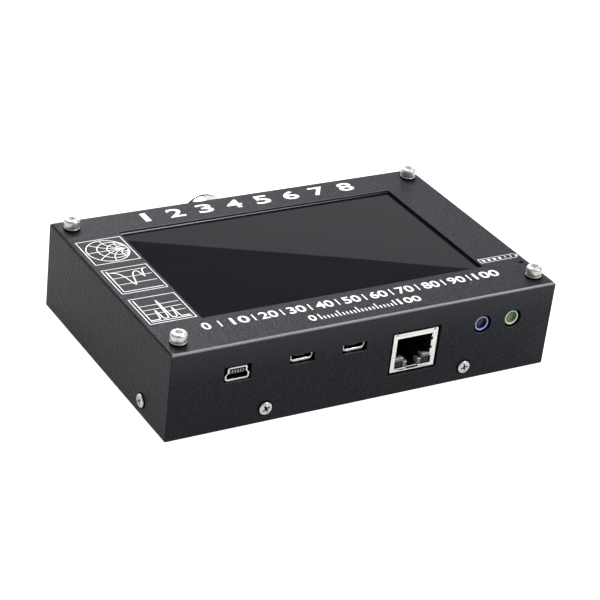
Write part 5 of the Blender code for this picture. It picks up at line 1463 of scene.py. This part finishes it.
# finishes of the carried-over inner pieces
nodeFinishes = {
    "bottom_cover": paint,
    "battery_cell": made["foil"],
    "battery_lead_black": made["blackLead"],
    "battery_lead_red": made["redLead"],
    "battery_plug": made["whitePlastic"],
    "charge_lamp": made["lamp"],
    "charge_socket": made["nickel"],
    "display_panel": made["panelBack"],
    "display_ribbon": makeRibbon(),
    "pin_strip_left": made["blackPlastic"],
    "pin_strip_right": made["blackPlastic"],
    "socket_strip_left": made["blackPlastic"],
    "socket_strip_right": made["blackPlastic"],
    "reset_button": made["blackPlastic"],
    "user_button": made["buttonPlastic"],
    "reset_button_body": made["cap"],
    "user_button_body": made["cap"],
    "rf_can": made["plate"],
    "rf_jack_insulator": made["insulator"],
    "rf_jack_pin": made["gold"],
    "switch_housing": made["blackPlastic"],
    "switch_lead_front": made["redLead"],
    "switch_lead_rear": made["redLead"],
}
for corner in coverValues["posts"]:
    nodeFinishes["standoff_" + corner] = made["brass"]
    nodeFinishes["board_screw_" + corner] = made["steel"]
for name, look in boards.items():
    nodeFinishes[name] = makeBoard(name + "Finish", look)
for name, finish in nodeFinishes.items():
    nodes[name].data.materials.clear()
    nodes[name].data.materials.append(finish)
print("inner pieces finished")


# floor, light and camera
stageValues = {
    "floorSize": 6.0,
    "floorLevel": -0.02,     # in millimetres, a hair under the case, so that the two faces don't flicker
    "floorColour": (0.45, 0.45, 0.45),
    "floorRoughness": 0.9,
    "floorSpecular": 0.1,
    "floorGlow": 0.88,
    "floorMirrored": 0.48,
    "skyDiffuse": 0.30,
    "skyDark": 0.20,
    "skyBright": 1.0,
    # normal of the plane between the bright low sky and the dark upper sky, and half the width of its fade
    "skyEdge": (0.2187, 0.4020, -0.8891),
    "skyFade": 0.0002,
    "lights": {
        # where each soft box hangs (from the object's middle), its size and how bright its face is
        "key": ((0.62, -0.62, 0.96), (0.38, 0.38), 22.0),
        "fill": ((-0.95, -0.55, 0.85), (0.35, 0.5), 0.6),
        "over": ((0.08, 0.74, 0.91), (0.7, 0.5), 13.5),
    },
}


def makeFloor(look):
    bpy.ops.object.select_all(action="DESELECT")
    bpy.ops.mesh.primitive_plane_add(size=look["floorSize"], location=(0, 0, look["floorLevel"] * mm))
    floor = bpy.context.active_object
    floor.name = "floor"
    material = bpy.data.materials.new("paleFloor")
    material.use_nodes = True
    tree = material.node_tree
    shader = tree.nodes["Principled BSDF"]
    shader.inputs["Base Color"].default_value = (*look["floorColour"], 1)
    shader.inputs["Roughness"].default_value = look["floorRoughness"]
    shader.inputs["Specular IOR Level"].default_value = look["floorSpecular"]
    # it glows to the camera and in metal and glass, and keeps the shadow
    path = addNode(tree, "ShaderNodeLightPath")
    seen = addNode(tree, "ShaderNodeMath", operation="MULTIPLY")
    seen.inputs[1].default_value = look["floorGlow"]
    feed(tree, path.outputs["Is Camera Ray"], seen, 0)
    through = addNode(tree, "ShaderNodeMath", operation="MAXIMUM")
    feed(tree, path.outputs["Is Glossy Ray"], through, 0)
    feed(tree, path.outputs["Is Transmission Ray"], through, 1)
    glow = addNode(tree, "ShaderNodeMath", operation="MULTIPLY_ADD")
    glow.inputs[1].default_value = look["floorMirrored"]
    feed(tree, through.outputs[0], glow, 0)
    feed(tree, seen.outputs[0], glow, 2)
    shader.inputs["Emission Color"].default_value = (1, 1, 1, 1)
    feed(tree, glow.outputs[0], shader, "Emission Strength")
    floor.data.materials.append(material)


def makeSky(look):
    # white to the camera; metal and glass see a bright low part and a dark upper part
    world = bpy.data.worlds.new("studioSky")
    bpy.context.scene.world = world
    world.use_nodes = True
    tree = world.node_tree
    tree.nodes.clear()
    coords = addNode(tree, "ShaderNodeTexCoord")
    lean = addNode(tree, "ShaderNodeVectorMath", operation="DOT_PRODUCT")
    lean.inputs[1].default_value = look["skyEdge"]
    feed(tree, coords.outputs["Generated"], lean, 0)
    fade = look["skyFade"]
    glossy = rangeOf(tree, lean.outputs["Value"], -fade, fade, look["skyDark"], look["skyBright"])
    path = addNode(tree, "ShaderNodeLightPath")

    def choose(share, first, second):
        mix = addNode(tree, "ShaderNodeMix", data_type="FLOAT")
        feed(tree, share, mix, "Factor")
        for value, slot in ((first, "A"), (second, "B")):
            socket = [s for s in mix.inputs if s.name == slot and s.type == "VALUE"][0]
            if isinstance(value, float):
                socket.default_value = value
            else:
                tree.links.new(value, socket)
        return [s for s in mix.outputs if s.type == "VALUE"][0]

    mirrored = choose(path.outputs["Is Glossy Ray"], look["skyDiffuse"], glossy)
    through = choose(path.outputs["Is Transmission Ray"], mirrored, 1.0)
    strength = choose(path.outputs["Is Camera Ray"], through, 1.0)
    back = addNode(tree, "ShaderNodeBackground")
    back.inputs["Color"].default_value = (1, 1, 1, 1)
    feed(tree, strength, back, "Strength")
    out = addNode(tree, "ShaderNodeOutputWorld")
    feed(tree, back.outputs[0], out, "Surface")


def makeLights(look):
    for name, (spot, (wide, tall), level) in look["lights"].items():
        lamp = bpy.data.lights.new(name + "Light", "AREA")
        lamp.shape = "RECTANGLE"
        lamp.size = wide
        lamp.size_y = tall
        lamp.energy = level * math.pi * wide * tall
        light = bpy.data.objects.new(name + "Light", lamp)
        bpy.context.scene.collection.objects.link(light)
        light.location = spot
        light.rotation_euler = (-Vector(spot)).to_track_quat("-Z", "Y").to_euler()


cameraValues = {
    "place": (-0.30423, -0.47359, 0.31809),
    "target": (-0.001727, -0.004088, 0.014804),
    "lens": 120.75,
    "roll": 6.767,
}


def makeCamera(look):
    data = bpy.data.cameras.new("photoCamera")
    data.lens = look["lens"]
    data.sensor_width = 36
    data.clip_start = 0.01
    camera = bpy.data.objects.new("photoCamera", data)
    bpy.context.scene.collection.objects.link(camera)
    spot = Vector(look["place"])
    ahead = (Vector(look["target"]) - spot).normalized()
    right = ahead.cross(Vector((0, 0, 1))).normalized()
    up = right.cross(ahead)
    roll = math.radians(look["roll"])
    side = right * math.cos(roll) + up * math.sin(roll)
    top = up * math.cos(roll) - right * math.sin(roll)
    turn = Matrix((side, top, -ahead)).transposed().to_4x4()
    camera.matrix_world = Matrix.Translation(spot) @ turn
    bpy.context.scene.camera = camera


makeFloor(stageValues)
makeSky(stageValues)
makeLights(stageValues)
makeCamera(cameraValues)
bpy.context.scene.view_settings.view_transform = "Standard"
print("floor, lights and camera set")
